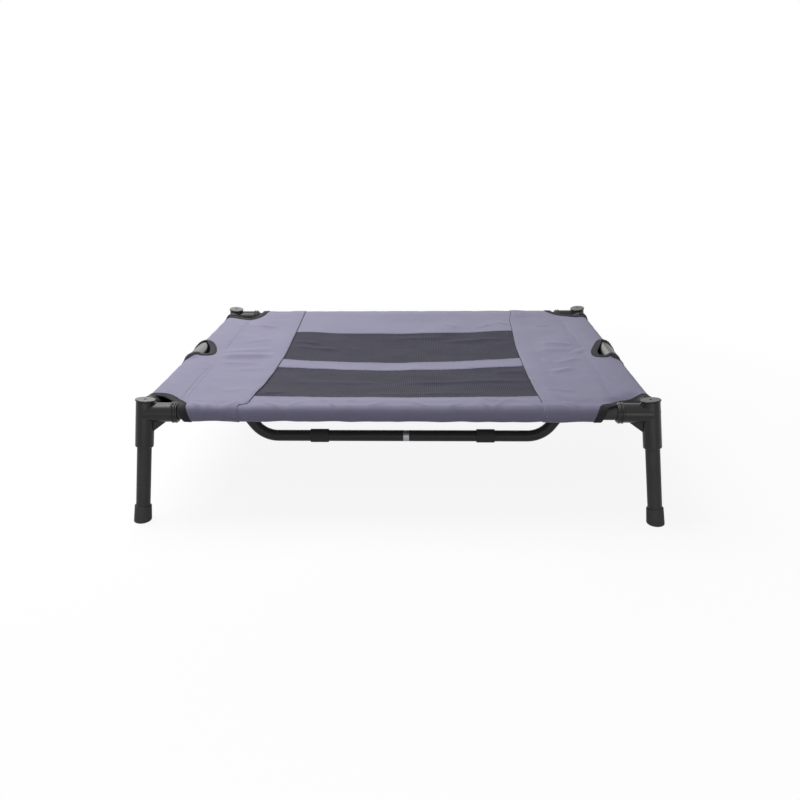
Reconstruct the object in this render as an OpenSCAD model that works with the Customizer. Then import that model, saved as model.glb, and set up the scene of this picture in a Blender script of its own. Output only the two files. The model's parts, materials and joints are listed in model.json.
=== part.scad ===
// Raised dog cot: a knock-down frame of steel tube with moulded corner connectors, splayed legs
// and a U-shaped centre brace, under a sewn cover of solid and mesh panels.
// The origin is on the floor at the middle. +X is the cot's right, +Y its rear, +Z up.

/* [Frame] */
// Distance between the left and right rail axes
cot_w = 702; // [600:1:900]
// Distance between the front and rear rail axes
cot_l = 557; // [500:1:700]
// Height of the rail axes above the floor
rail_h = 161; // [145:1:220]
// Outward lean of each leg, seen from the front and from the side
leg_splay = 6; // [0:0.5:9]

/* [Tube] */
// Outside diameter of every tube
tube_d = 20; // [18:0.5:23]
// Wall of every tube
tube_wall = 1; // [0.8:0.1:2]
// Radial clearance of a fixed tube in its socket
socket_gap = 0.2; // [0.1:0.05:0.4]
// Radial clearance of a leg that slides in its column
leg_gap = 0.08; // [0.03:0.01:0.1]
// Clearance between a leg's top and the stop in its column
stop_gap = 0.3; // [0.1:0.1:1]

/* [Corner connector] */
// Wall of an arm round the rail
arm_wall = 3.5; // [2:0.1:4]
// Wall of the column round the leg
col_wall = 2.75; // [2.5:0.05:4.5]
// Length of a front or rear arm from the corner axis to its mouth
arm_len = 48; // [40:1:60]
// Length of a side arm from the corner axis to its mouth
side_arm_len = 32; // [30:1:60]
// Distance from the corner axis to the end of the rail in an arm
arm_seat = 16; // [15:0.5:20]
// Height of the column above the rail axes
col_up = 17; // [16.5:0.5:22]
// Length of the column below the rail axes
col_down = 50; // [44:1:60]
// Distance from the rail axes down to the top of the leg
leg_seat = 17; // [16:0.5:22]
// Reach of a gusset along a front or rear arm
gusset = 30; // [22:1:36]
// Reach of a gusset along a side arm
side_gusset = 20; // [16:1:24]
// Reach of a gusset down the column
gusset_down = 28; // [22:1:36]
// Thickness of a gusset
gusset_t = 8; // [4:0.5:12]
// Section radius of a bead round a socket's mouth
bead_r = 1.5; // [1:0.1:2.5]
// Height of a bead above the socket's wall
bead_h = 1.5; // [0.5:0.05:1.6]
// Gap between the two beads of a mouth
bead_gap = 1.2; // [0.8:0.1:2]
// Rounding of the moulded edges
edge_r = 1.5; // [0.5:0.1:2]
// Lead-in chamfer of the sockets
lead_in = 0.8; // [0.3:0.1:1.5]

/* [Column cap] */
// Thickness of the cap's disc
cap_t = 2; // [1.5:0.1:4]
// Overhang of the disc past the column
cap_lip = 1.1; // [0:0.05:2]
// Diameter of the cap's plug
plug_d = 15; // [10:0.5:17]
// Depth of the cap's plug
plug_l = 5; // [3:0.5:6]
// Radial clearance of the plug in the column
plug_gap = 0.2; // [0.1:0.05:0.4]
// Diameter of the dimple in the cap
dimple_d = 4.5; // [2:0.5:8]
// Depth of the dimple
dimple_h = 1; // [0.5:0.1:1.4]

/* [Rubber feet] */
// Wall of a foot at its top edge
foot_wall = 1.7; // [1.5:0.1:4]
// Flare of the foot's radius from top to floor
foot_flare = 0.7; // [0:0.1:2]
// Height of a foot along the leg
foot_h = 24; // [18:0.5:32]
// Rubber between the leg's end and the floor
foot_sole = 5; // [4:0.5:8]
// Rounding of the sole's edge on the floor
sole_edge = 2.5; // [0.5:0.5:3]
// Radial clearance of the leg in its foot
foot_gap = 0.1; // [0.05:0.05:0.3]
// Wall of the rubber sleeves on the brace
pad_wall = 2; // [1:0.1:4]
// Length of a rubber sleeve
pad_l = 32; // [20:1:50]
// Distance from the start of the bend to the middle of a rubber sleeve
pad_in = 74; // [40:1:110]

/* [Tees and brace] */
// Wall of a tee round the side rail
tee_wall = 4; // [3.5:0.1:6]
// Length of a tee along the side rail
tee_l = 80; // [60:1:110]
// Half thickness of the stop between the two side rails
tee_stop = 5; // [3:0.5:10]
// Length of a tee's branch from the side rail axis
branch_l = 50; // [42:1:60]
// Distance from the side rail axis to the end of the brace in the branch
branch_seat = 17; // [16:0.5:24]
// Centre-line radius of the brace's bends
bend_r = 50; // [35:1:60]
// Distance across from the side rail axis to the start of the bend
bend_in = 129; // [100:1:150]
// How far a bend's wall is drawn thinner, on each face
bend_thinning = 0.1; // [0.08:0.01:0.2]
// Place of the brace's joint, to the right of the middle
joint_x = 7; // [-40:1:40]

/* [Joiners] */
// Width of the bare collar between two tubes
collar_w = 10; // [4:0.5:20]
// Length of each spigot
spigot_l = 30; // [20:1:45]
// Radial clearance of a spigot in its tube
spigot_gap = 0.15; // [0.05:0.05:0.4]
// Wall of a joiner's bore
joiner_wall = 1.5; // [1:0.1:3]

/* [Cover] */
// Thickness of the solid cloth
cloth_t = 1.2; // [0.6:0.1:2]
// Thickness of the mesh
mesh_t = 0.9; // [0.5:0.1:2]
// Slack of a sleeve round its rail, on the radius
sleeve_slack = 1; // [0.5:0.1:2]
// Distance from a rail axis to the sleeve's stitch line
stitch_in = 40; // [34:1:50]
// Distance from the side rail axis to the seam of a side panel
panel_w = 144; // [110:1:180]
// Depth of the front mesh panel, front to back
mesh_front_l = 174; // [120:1:190]
// Depth of the centre strip
strip_l = 44; // [25:1:60]
// Depth of the rear mesh panel
mesh_rear_l = 168; // [120:1:190]
// Sag of the cover at its middle
sag = 21; // [0:1:45]
// Bare rail between an arm's mouth and the end of a front or rear sleeve
bare_end = 8; // [2:0.5:30]
// Bare rail between an arm's mouth and the end of a side sleeve
bare_side = 4; // [2:0.5:30]
// How far the middle of a corner cut bows in from the straight line between its ends
cut_bow = 15; // [2:0.5:16]
// Bare rail between a tee and the cover, at each end of a notch
bare_notch = 2; // [2:0.5:20]
// Gap between a tee and the cover, along the inner side of a notch
notch_gap = 8.5; // [4:0.5:16]
// Corner radius of a notch
notch_r = 18; // [8:1:24]

/* [Binding tape] */
// Width of the tape
tape_w = 9; // [5:0.5:11]
// Thickness of the tape
tape_t = 0.8; // [0.4:0.1:1.5]
// Clearance between the tape and the cloth under it
tape_gap = 0.15; // [0.05:0.05:0.3]

/* [Hidden] */
$fn = 64;
CORNERS = [
    ["front_left", -1, -1],
    ["front_right", 1, -1],
    ["rear_left", -1, 1],
    ["rear_right", 1, 1]
];
SIDES = [["left", -1], ["right", 1]];
ENDS = [["front", -1], ["rear", 1]];

tube_r = tube_d / 2;
bore_r = tube_r + socket_gap;
arm_r = tube_r + arm_wall;
col_r = tube_r + col_wall;
tee_r = tube_r + tee_wall;
cap_r = col_r + cap_lip;

// A bead's half width, where it is widest
bead_half = sqrt(bead_r ^ 2 - max(0, bead_r - bead_h) ^ 2);

// Each leg leans by the same amount sideways and along, so one metre of height takes lean_len metres of leg
lean = tan(leg_splay);
lean_len = sqrt(1 + 2 * lean * lean);
leg_floor = rail_h * lean_len;
leg_end = leg_floor - foot_sole;
foot_r = tube_r + foot_gap + foot_wall;
sole_r = (foot_r + foot_flare) * lean_len + lean * sole_edge;

// A joiner's spigots slide into the tubes
spigot_r = tube_r - tube_wall - spigot_gap;

// The brace lies on its rubber sleeves, bends up and runs straight at the middle of the side rail
brace_z = tube_r + pad_wall;
brace_flat = cot_w / 2 - bend_in;
bend_rise = rail_h - brace_z - bend_r;
brace_angle = atan2(bend_rise, bend_in) + asin(bend_r / norm([bend_in, bend_rise]));
brace_up = (bend_in - bend_r * sin(brace_angle)) * cos(brace_angle)
    + (bend_rise + bend_r * cos(brace_angle)) * sin(brace_angle);

// A sleeve is drawn in against the outer side of its rail and hangs on its top
sleeve_r = tube_r + sleeve_slack;
sleeve_drop = sleeve_slack / 2;
sleeve_z = rail_h - sleeve_drop;
cover_top = sleeve_z + sleeve_r + cloth_t;
tape_r = sleeve_r + cloth_t + tape_gap;
edge_x = cot_w / 2 - sleeve_drop;
edge_y = cot_l / 2 - sleeve_drop;
stitch_x = cot_w / 2 - stitch_in;
stitch_y = cot_l / 2 - stitch_in;
end_x = cot_w / 2 - arm_len - bare_end;
end_y = cot_l / 2 - side_arm_len - bare_side;
notch_y = tee_l / 2 + bare_notch;
notch_in = tee_r + notch_gap;
seam_x = cot_w / 2 - panel_w;
strip_front = -stitch_y + mesh_front_l;
strip_rear = strip_front + strip_l;
mesh_end = strip_rear + mesh_rear_l;

// Under the rail the sleeve's cloth leaves the round and rises straight into the cloth at the stitch line
flap_end = [sleeve_drop - stitch_in + cloth_t, sleeve_r + cloth_t / 2];
flap_turn = atan2(flap_end.y, flap_end.x) + acos(sleeve_r / norm(flap_end));
flap_l = sqrt(norm(flap_end) ^ 2 - sleeve_r ^ 2);

// A corner cut follows a circle through the ends of the two sleeves there
cut_chord = [edge_x - end_x, end_y - edge_y];
cut_r = norm(cut_chord) ^ 2 / cut_bow / 8 + cut_bow / 2;
cut_centre = [edge_x + end_x, edge_y + end_y] / 2
    + (cut_r - cut_bow) / norm(cut_chord) * [-cut_chord.y, cut_chord.x];

// A short overlap that lets two shapes of one piece fuse
embed = 1;

// Evenly spaced values
function spaced(from, to, steps) = [for (i = [0:steps]) from + (to - from) * i / steps];

// Points along an arc about a centre
function arc(centre, r, from, to, steps = 6) =
    [for (turn = spaced(from, to, steps)) centre + r * [cos(turn), sin(turn)]];

// How far the cover hangs below its edges, inside the stitch lines
function sag_at(x, y) = sag * max(0, 1 - (x / stitch_x) ^ 2) * max(0, 1 - (y / stitch_y) ^ 2);

// One half of a joiner's outline, from its bore's end to its collar
function joiner_half() = [
    [spigot_r - joiner_wall, collar_w / 2 + spigot_l],
    [spigot_r, collar_w / 2 + spigot_l],
    [spigot_r, collar_w / 2],
    [tube_r, collar_w / 2]
];

// Draws the rear right corner's piece at any corner
module at_corner(side, end)
    mirror([side < 0 ? 1 : 0, 0, 0])
        mirror([0, end < 0 ? 1 : 0, 0])
            children();

// Draws the right side's piece on either side
module at_side(side)
    mirror([side < 0 ? 1 : 0, 0, 0])
        children();

// Draws the rear piece at either end
module at_end(end)
    mirror([0, end < 0 ? 1 : 0, 0])
        children();

// Origin on the rear right corner axis at rail height, +Z up along the leaning leg
module on_leg()
    translate([cot_w / 2, cot_l / 2, rail_h])
        rotate([asin(lean / lean_len), -leg_splay, 0])
            children();

// Origin on the right side rail at the middle, +Z down along the brace
module on_branch()
    translate([cot_w / 2, 0, rail_h])
        rotate([0, -90 - brace_angle, 0])
            children();

// The ring of a tube, its wall thinned on both faces by some amount
module tube_section(thinned = 0)
    difference() {
        circle(tube_r - thinned);
        circle(tube_r - tube_wall + thinned);
    }

module tube(length)
    linear_extrude(length)
        tube_section();

// A solid barrel along +Z with both of its rims rounded
module barrel(r, length, rim)
    rotate_extrude()
        polygon(concat(
            [[0, 0]],
            arc([r - rim, rim], rim, -90, 0),
            arc([r - rim, length - rim], rim, 0, 90),
            [[0, length]]
        ));

// A bead round a barrel of radius r, as part of its outline
function bead(r, z) =
    let (half = acos(1 - bead_h / bead_r))
        arc([r + bead_h - bead_r, z], bead_r, -half, half, 8);

// A socket's barrel along +Z from its root to its mouth, with two beads at the mouth
module socket_barrel(r, length) {
    bead_z = length - edge_r - bead_gap / 2 - bead_half;
    rotate_extrude()
        polygon(concat(
            [[0, 0], [r, 0]],
            bead(r, bead_z - 2 * bead_half - bead_gap),
            bead(r, bead_z),
            arc([r - edge_r, length - edge_r], edge_r, 0, 90),
            [[0, length]]
        ));
}

// What a tube takes out of a socket along +Z, from its seat to past the mouth
module socket_bore(r, seat, mouth) {
    translate([0, 0, seat])
        cylinder(r = r, h = mouth - seat + embed);
    translate([0, 0, mouth - lead_in])
        cylinder(r1 = r, r2 = r + lead_in + embed, h = lead_in + embed);
}

// The web between the column and an arm along +X
module gusset_web(reach)
    rotate([90, 0, 0])
        linear_extrude(gusset_t, center = true)
            polygon([
                [0, 0],
                [reach, 0],
                [reach, embed - arm_r],
                [col_r - gusset_down * lean - embed, -gusset_down],
                [0, -gusset_down]
            ]);

// Corner connector: a leaning column for the leg and two level arms for the rails
module corner()
    color("#2b2b2d")
        difference() {
            union() {
                on_leg()
                    translate([0, 0, -col_down])
                        barrel(col_r, col_down + col_up, edge_r);
                translate([cot_w / 2, cot_l / 2, rail_h]) {
                    rotate([0, -90, 0])
                        socket_barrel(arm_r, arm_len);
                    rotate([90, 0, 0])
                        socket_barrel(arm_r, side_arm_len);
                    rotate([0, 0, 180])
                        gusset_web(gusset);
                    rotate([0, 0, -90])
                        gusset_web(side_gusset);
                }
            }
            on_leg() {
                rotate([180, 0, 0])
                    socket_bore(tube_r + leg_gap, leg_seat - stop_gap, col_down);
                translate([0, 0, col_up - plug_l - plug_gap])
                    cylinder(d = plug_d + 2 * plug_gap, h = plug_l + plug_gap + embed);
            }
            translate([cot_w / 2, cot_l / 2, rail_h]) {
                rotate([0, -90, 0])
                    socket_bore(bore_r, arm_seat, arm_len);
                rotate([90, 0, 0])
                    socket_bore(bore_r, arm_seat, side_arm_len);
            }
        }

// Cap: a disc that lies on the column, with a plug under it and a dimple on top
module cap()
    color("#333336")
        on_leg()
            translate([0, 0, col_up])
                rotate_extrude()
                    polygon(concat(
                        [[0, -plug_l], [plug_d / 2, -plug_l], [plug_d / 2, 0], [cap_r, 0]],
                        arc([cap_r - cap_t / 2, cap_t / 2], cap_t / 2, 0, 90),
                        [[dimple_d / 2, cap_t]],
                        [[dimple_d / 2 - dimple_h / 2, cap_t - dimple_h], [0, cap_t - dimple_h]]
                    ));

module leg()
    color("#29292b")
        on_leg()
            translate([0, 0, -leg_end])
                tube(leg_end - leg_seat);

// Rubber foot: a flared cup on the leg's end, cut flat on the floor with a rounded edge
module foot()
    color("#1d1d1e")
        difference() {
            on_leg()
                translate([0, 0, -leg_floor])
                    rotate_extrude()
                        polygon(concat(
                            [[0, -foot_sole], [foot_r + foot_flare, -foot_sole]],
                            [[foot_r + foot_flare, sole_edge]],
                            arc([foot_r - foot_wall / 2, foot_h - foot_wall / 2], foot_wall / 2, 0, 90),
                            [[tube_r + foot_gap, foot_h], [tube_r + foot_gap, foot_sole], [0, foot_sole]]
                        ));
            translate([0, 0, -foot_h / 2])
                cube([2 * cot_w, 2 * cot_l, foot_h], center = true);
            translate([cot_w / 2 + lean * rail_h, cot_l / 2 + lean * rail_h, 0])
                rotate_extrude()
                    polygon(concat(
                        [[sole_r - sole_edge, -embed]],
                        arc([sole_r - sole_edge, sole_edge], sole_edge, -90, 0),
                        [[sole_r + sole_edge, sole_edge], [sole_r + sole_edge, -embed]]
                    ));
        }

// One half of the rear rail, from the right corner to the joiner's collar
module end_rail()
    color("#29292b")
        translate([collar_w / 2, cot_l / 2, rail_h])
            rotate([0, 90, 0])
                tube(cot_w / 2 - arm_seat - collar_w / 2);

// One half of the right side rail, from the rear corner to the tee's stop
module side_rail()
    color("#29292b")
        translate([cot_w / 2, tee_stop, rail_h])
            rotate([-90, 0, 0])
                tube(cot_l / 2 - arm_seat - tee_stop);

// Joiner: a collar as wide as the tubes, with a spigot into each
module joiner()
    color("#8a8a90")
        rotate([0, 90, 0])
            rotate_extrude()
                polygon(concat(
                    [for (p = joiner_half()) [p.x, -p.y]],
                    [for (i = [len(joiner_half()) - 1:-1:0]) joiner_half()[i]]
                ));

// The joiner between the two halves of the rear rail
module end_joiner()
    translate([0, cot_l / 2, rail_h])
        joiner();

// Tee: a barrel round the right side rail and a branch for the brace
module tee()
    color("#333336")
        difference() {
            union() {
                translate([cot_w / 2, tee_l / 2, rail_h])
                    rotate([90, 0, 0])
                        barrel(tee_r, tee_l, edge_r);
                on_branch()
                    socket_barrel(arm_r, branch_l);
            }
            on_branch()
                socket_bore(bore_r, branch_seat, branch_l);
            translate([cot_w / 2, 0, rail_h])
                for (turn = [-90, 90])
                    rotate([turn, 0, 0])
                        socket_bore(bore_r, tee_stop, tee_l / 2);
        }

// Right half of the brace, from start_x along the floor, round the bend and up into the tee
module brace(start_x)
    color("#29292b") {
        translate([start_x, 0, brace_z])
            rotate([0, 90, 0])
                tube(brace_flat - start_x + embed);
        translate([brace_flat, 0, brace_z + bend_r])
            rotate([90, 90, 0])
                rotate_extrude(angle = brace_angle)
                    translate([bend_r, 0])
                        tube_section(bend_thinning);
        on_branch()
            translate([0, 0, branch_seat])
                tube(brace_up - branch_seat + embed);
    }

// Rubber sleeve on the brace, which stands on the floor
module brace_pad()
    color("#1d1d1e")
        translate([brace_flat - pad_in - pad_l / 2, 0, brace_z])
            rotate([0, 90, 0])
                difference() {
                    barrel(tube_r + pad_wall, pad_l, pad_wall / 4);
                    translate([0, 0, -embed])
                        cylinder(r = tube_r + foot_gap, h = pad_l + 2 * embed);
                }

// The section of a sleeve: u is outwards from the sleeve's centre, v is up.
// From the flat the cloth goes round the rail's outer side and rises straight under it.
module sleeve_section(r, t, rise) {
    turn = arc([0, 0], 1, 90, flap_turn - 360, 20);
    off_rail = [cos(flap_turn), sin(flap_turn)];
    up_flap = [sin(flap_turn), -cos(flap_turn)];
    polygon(concat(
        [[-embed, r + t]],
        (r + t) * turn,
        [(r + t) * off_rail + rise * up_flap, r * off_rail + rise * up_flap],
        [for (i = [len(turn) - 1:-1:0]) r * turn[i]],
        [[-embed, r]]
    ));
}

// A sleeve on the right side rail between two places along it
module side_sleeve(from_y, to_y, r, t, rise)
    translate([edge_x, to_y, sleeve_z])
        rotate([90, 0, 0])
            linear_extrude(to_y - from_y)
                sleeve_section(r, t, rise);

// A sleeve on the rear rail between two places along it
module end_sleeve(from_x, to_x, r, t, rise)
    translate([from_x, edge_y, sleeve_z])
        rotate([90, 0, 90])
            linear_extrude(to_x - from_x)
                sleeve_section(r, t, rise);

// Flat cloth over the frame, its top at the cover's height
module flat_cloth()
    translate([0, 0, cover_top - cloth_t])
        linear_extrude(cloth_t)
            children();

// The notch in the right side of the cover, seen from above and widened by some amount
module notch(grow)
    polygon(concat(
        [[cot_w / 2 + tee_r, -notch_y - grow]],
        arc([cot_w / 2 - notch_in + notch_r, notch_r - notch_y], notch_r + grow, -90, -180),
        arc([cot_w / 2 - notch_in + notch_r, notch_y - notch_r], notch_r + grow, 180, 90),
        [[cot_w / 2 + tee_r, notch_y + grow]]
    ));

// The rounded cut at the rear right corner of the cover, seen from above and widened by some amount
module corner_cut(grow)
    translate(cut_centre)
        circle(cut_r + grow);

// A sheet over a grid of places that hangs with the cover's sag
module sagging_sheet(xs, ys, t) {
    nx = len(xs);
    ny = len(ys);
    n = nx * ny;
    top = [for (y = ys) for (x = xs) [x, y, cover_top - sag_at(x, y)]];
    under = [for (p = top) p - [0, 0, t]];
    cells = [for (j = [0:ny - 2]) for (i = [0:nx - 2]) j * nx + i];
    front = [for (i = [0:nx - 2]) i];
    rear = [for (i = [0:nx - 2]) (ny - 1) * nx + i];
    left = [for (j = [0:ny - 2]) j * nx];
    right = [for (j = [0:ny - 2]) j * nx + nx - 1];
    polyhedron(concat(top, under), concat(
        [for (k = cells) for (f = [[k, k + nx, k + nx + 1], [k, k + nx + 1, k + 1]]) f],
        [for (k = cells) for (f = [[k, k + nx + 1, k + nx], [k, k + 1, k + nx + 1]]) [for (i = f) n + i]],
        [for (k = front) for (f = [[k, k + 1, n + k + 1], [k, n + k + 1, n + k]]) f],
        [for (k = rear) for (f = [[k + 1, k, n + k], [k + 1, n + k, n + k + 1]]) f],
        [for (k = left) for (f = [[k + nx, k, n + k], [k + nx, n + k, n + k + nx]]) f],
        [for (k = right) for (f = [[k, k + nx, n + k + nx], [k, n + k + nx, n + k]]) f]
    ));
}

// Right side panel: a flat rim with its sleeves, notch and corner cuts, and the hanging cloth inside it
module side_cover()
    color("#9a94aa") {
        flat_cloth()
            difference() {
                translate([seam_x, -edge_y])
                    square([edge_x - seam_x, 2 * edge_y]);
                translate([seam_x - embed, -stitch_y])
                    square([stitch_x - seam_x + embed, 2 * stitch_y]);
                notch(0);
                for (end = [-1, 1])
                    at_end(end)
                        corner_cut(0);
            }
        for (end = [-1, 1])
            at_end(end) {
                side_sleeve(notch_y, end_y, sleeve_r, cloth_t, flap_l);
                end_sleeve(seam_x, end_x, sleeve_r, cloth_t, flap_l);
            }
        sagging_sheet(
            concat(spaced(seam_x, stitch_x, 6), [stitch_x + embed]),
            concat([-stitch_y - embed], spaced(-stitch_y, stitch_y, 18), [stitch_y + embed]),
            cloth_t
        );
    }

// Rear strip's rim and sleeve, between the two side panels
module end_cover() {
    flat_cloth()
        translate([-seam_x, stitch_y])
            square([2 * seam_x, edge_y - stitch_y]);
    end_sleeve(-seam_x, seam_x, sleeve_r, cloth_t, flap_l);
}

module cover_front()
    color("#9a94aa")
        at_end(-1)
            end_cover();

module cover_rear()
    color("#9a94aa") {
        end_cover();
        sagging_sheet(
            spaced(-seam_x, seam_x, 16),
            concat(spaced(mesh_end, stitch_y, 4), [stitch_y + embed]),
            cloth_t
        );
    }

module cover_centre()
    color("#9a94aa")
        sagging_sheet(spaced(-seam_x, seam_x, 16), spaced(strip_front, strip_rear, 2), cloth_t);

module mesh_front()
    color("#4e4d58")
        sagging_sheet(spaced(-seam_x, seam_x, 16), spaced(-stitch_y, strip_front, 6), mesh_t);

module mesh_rear()
    color("#4e4d58")
        sagging_sheet(spaced(-seam_x, seam_x, 16), spaced(strip_rear, mesh_end, 6), mesh_t);

// Flat tape on top of the cloth
module flat_tape()
    translate([0, 0, cover_top + tape_gap])
        linear_extrude(tape_t)
            children();

// Tape along the rear right corner cut and round the ends of the two sleeves there
module corner_binding()
    color("#26252b") {
        flat_tape()
            intersection() {
                difference() {
                    corner_cut(tape_w);
                    corner_cut(0);
                }
                square([edge_x, edge_y]);
            }
        side_sleeve(end_y - tape_w, end_y, tape_r, tape_t, flap_l);
        end_sleeve(end_x - tape_w, end_x, tape_r, tape_t, flap_l);
    }

// Tape round the right notch and round the ends of the two sleeves there
module notch_binding()
    color("#26252b") {
        flat_tape()
            intersection() {
                difference() {
                    notch(tape_w);
                    notch(0);
                }
                translate([0, -cot_l / 2])
                    square([edge_x, cot_l]);
            }
        for (end = [-1, 1])
            at_end(end)
                side_sleeve(notch_y, notch_y + tape_w, tape_r, tape_t, flap_l);
    }

for (c = CORNERS) {
    at_corner(c[1], c[2]) corner();
    at_corner(c[1], c[2]) cap();
    at_corner(c[1], c[2]) leg();
    at_corner(c[1], c[2]) foot();
    at_corner(c[1], c[2]) corner_binding();
}
for (e = ENDS) for (s = SIDES) {
    at_corner(s[1], e[1]) end_rail();
    at_corner(s[1], e[1]) side_rail();
}
for (s = SIDES) {
    at_side(s[1]) tee();
    at_side(s[1]) brace(s[1] * joint_x + collar_w / 2);
    at_side(s[1]) brace_pad();
    at_side(s[1]) side_cover();
    at_side(s[1]) notch_binding();
}
for (e = ENDS)
    at_end(e[1]) end_joiner();
translate([joint_x, 0, brace_z]) joiner();  // joiner_brace
cover_front();
cover_centre();
cover_rear();
mesh_front();
mesh_rear();
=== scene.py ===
# %% [markdown]
# # A raised dog cot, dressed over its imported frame
#
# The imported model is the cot's skeleton: moulded corners, tubes, tees, brace, rubber feet, and plain solids
# that hold the room of the sewn cover. This lesson keeps the rigid solids, gives them finishes made of nodes,
# and sews a finer cover over the room that the plain one takes. Everything is in metres, with +Z up.

# %% Load the frame
import json
import math

import bmesh
import bpy
import numpy as np
from mathutils import Matrix, Vector, geometry, noise


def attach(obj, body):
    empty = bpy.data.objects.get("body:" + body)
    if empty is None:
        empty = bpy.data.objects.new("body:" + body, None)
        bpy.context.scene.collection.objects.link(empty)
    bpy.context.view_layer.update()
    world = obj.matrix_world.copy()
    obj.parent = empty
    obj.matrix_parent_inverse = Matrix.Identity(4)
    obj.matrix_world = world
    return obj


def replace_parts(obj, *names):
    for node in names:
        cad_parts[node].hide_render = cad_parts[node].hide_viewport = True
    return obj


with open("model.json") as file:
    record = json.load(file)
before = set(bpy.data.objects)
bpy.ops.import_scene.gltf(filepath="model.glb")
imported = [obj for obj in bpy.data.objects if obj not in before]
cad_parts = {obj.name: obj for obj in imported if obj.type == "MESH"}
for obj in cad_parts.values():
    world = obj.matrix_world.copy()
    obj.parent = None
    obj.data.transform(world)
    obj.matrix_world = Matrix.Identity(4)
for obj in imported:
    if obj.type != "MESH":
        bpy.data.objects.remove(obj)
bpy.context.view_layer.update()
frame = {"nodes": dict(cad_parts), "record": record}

# %% [markdown]
# ## The camera
#
# A camera can be placed by eye, or worked out from points that are easy to name in the picture. Here the
# caps, sockets and feet were used: the lens, place and turn below put all of them where the picture has
# them. The picture is square, so the lens in millimetres is its length in pixels times 36 / 800.

# %% Camera
PICTURE = 800
LENS_PIXELS = 778
SENSOR = 36
CAMERA_AT = Vector((0.043, -1.287, 0.541))
YAW, PITCH, TILT = (math.radians(a) for a in (2.07, -19.71, -0.64))

camera_data = bpy.data.cameras.new("camera")
camera_data.sensor_width = SENSOR
camera_data.lens = LENS_PIXELS * SENSOR / PICTURE
camera = bpy.data.objects.new("camera", camera_data)
camera.matrix_world = (
    Matrix.Translation(CAMERA_AT)
    @ Matrix.Rotation(YAW, 4, "Z")
    @ Matrix.Rotation(math.radians(90) + PITCH, 4, "X")
    @ Matrix.Rotation(TILT, 4, "Z")
)
bpy.context.scene.collection.objects.link(camera)
bpy.context.scene.camera = camera
bpy.context.scene.view_settings.view_transform = "Standard"
print("lens", round(camera_data.lens, 2), "mm")

# %% [markdown]
# ## The studio
#
# The cot stands on a seamless floor under one soft lamp, a little to the left. A second one, low behind the
# left side, is there for its reflection: it draws the tops of the caps, arms and tees. A third, low in
# front, reaches the brace under the bed, and a weak fourth, high in front, draws the crest of the front
# sleeve. A weak fill comes from all round, and the lamps stay at a plain level. The background is white
# because the floor and the world say so to the camera and to mirror rays through Light Path, so no extra
# light falls on the cot. Near the cot a small share of the floor's own shading is left in, which keeps a
# faint shadow.

# %% White floor and background
FLOOR_HALF = 12.0
FLOOR_TONE = 0.32
FILL = 0.07
# The share of the floor's shading that shows, and how far from the cot's middle it starts and ends to fade.
SHADOW_KEPT, SHADOW_FULL, SHADOW_GONE = 0.10, 0.5, 1.1


def sees_background(nodes, links):
    """Returns a socket that is 1 for rays from the camera and for mirror and glass rays."""
    path = nodes.new("ShaderNodeLightPath")
    first = nodes.new("ShaderNodeMath")
    first.operation = "MAXIMUM"
    second = nodes.new("ShaderNodeMath")
    second.operation = "MAXIMUM"
    links.new(path.outputs["Is Camera Ray"], first.inputs[0])
    links.new(path.outputs["Is Glossy Ray"], first.inputs[1])
    links.new(first.outputs[0], second.inputs[0])
    links.new(path.outputs["Is Transmission Ray"], second.inputs[1])
    return second.outputs[0]


def make_floor():
    """A wide matt floor, white to the camera but for a faint shadow near the cot."""
    mesh = bpy.data.meshes.new("floor")
    corners = [(x * FLOOR_HALF, y * FLOOR_HALF, 0) for x, y in ((-1, -1), (1, -1), (1, 1), (-1, 1))]
    mesh.from_pydata(corners, [], [(0, 1, 2, 3)])
    floor = bpy.data.objects.new("floor", mesh)
    bpy.context.scene.collection.objects.link(floor)
    finish = bpy.data.materials.new("pale floor")
    finish.use_nodes = True
    nodes, links = finish.node_tree.nodes, finish.node_tree.links
    nodes.clear()
    matt = nodes.new("ShaderNodeBsdfDiffuse")
    matt.inputs["Color"].default_value = (FLOOR_TONE, FLOOR_TONE, FLOOR_TONE, 1)
    white = nodes.new("ShaderNodeEmission")
    white.inputs["Strength"].default_value = 1
    shaded = nodes.new("ShaderNodeBsdfDiffuse")
    shaded.inputs["Color"].default_value = (1, 1, 1, 1)
    from_cot = nodes.new("ShaderNodeVectorMath")
    from_cot.operation = "LENGTH"
    kept = nodes.new("ShaderNodeMapRange")
    kept.inputs["From Min"].default_value = SHADOW_FULL
    kept.inputs["From Max"].default_value = SHADOW_GONE
    kept.inputs["To Min"].default_value = SHADOW_KEPT
    kept.inputs["To Max"].default_value = 0
    seen = nodes.new("ShaderNodeMixShader")
    mixed = nodes.new("ShaderNodeMixShader")
    out = nodes.new("ShaderNodeOutputMaterial")
    links.new(nodes.new("ShaderNodeTexCoord").outputs["Object"], from_cot.inputs[0])
    links.new(from_cot.outputs["Value"], kept.inputs["Value"])
    links.new(kept.outputs["Result"], seen.inputs["Fac"])
    links.new(white.outputs[0], seen.inputs[1])
    links.new(shaded.outputs[0], seen.inputs[2])
    links.new(sees_background(nodes, links), mixed.inputs["Fac"])
    links.new(matt.outputs[0], mixed.inputs[1])
    links.new(seen.outputs[0], mixed.inputs[2])
    links.new(mixed.outputs[0], out.inputs["Surface"])
    mesh.materials.append(finish)


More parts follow.
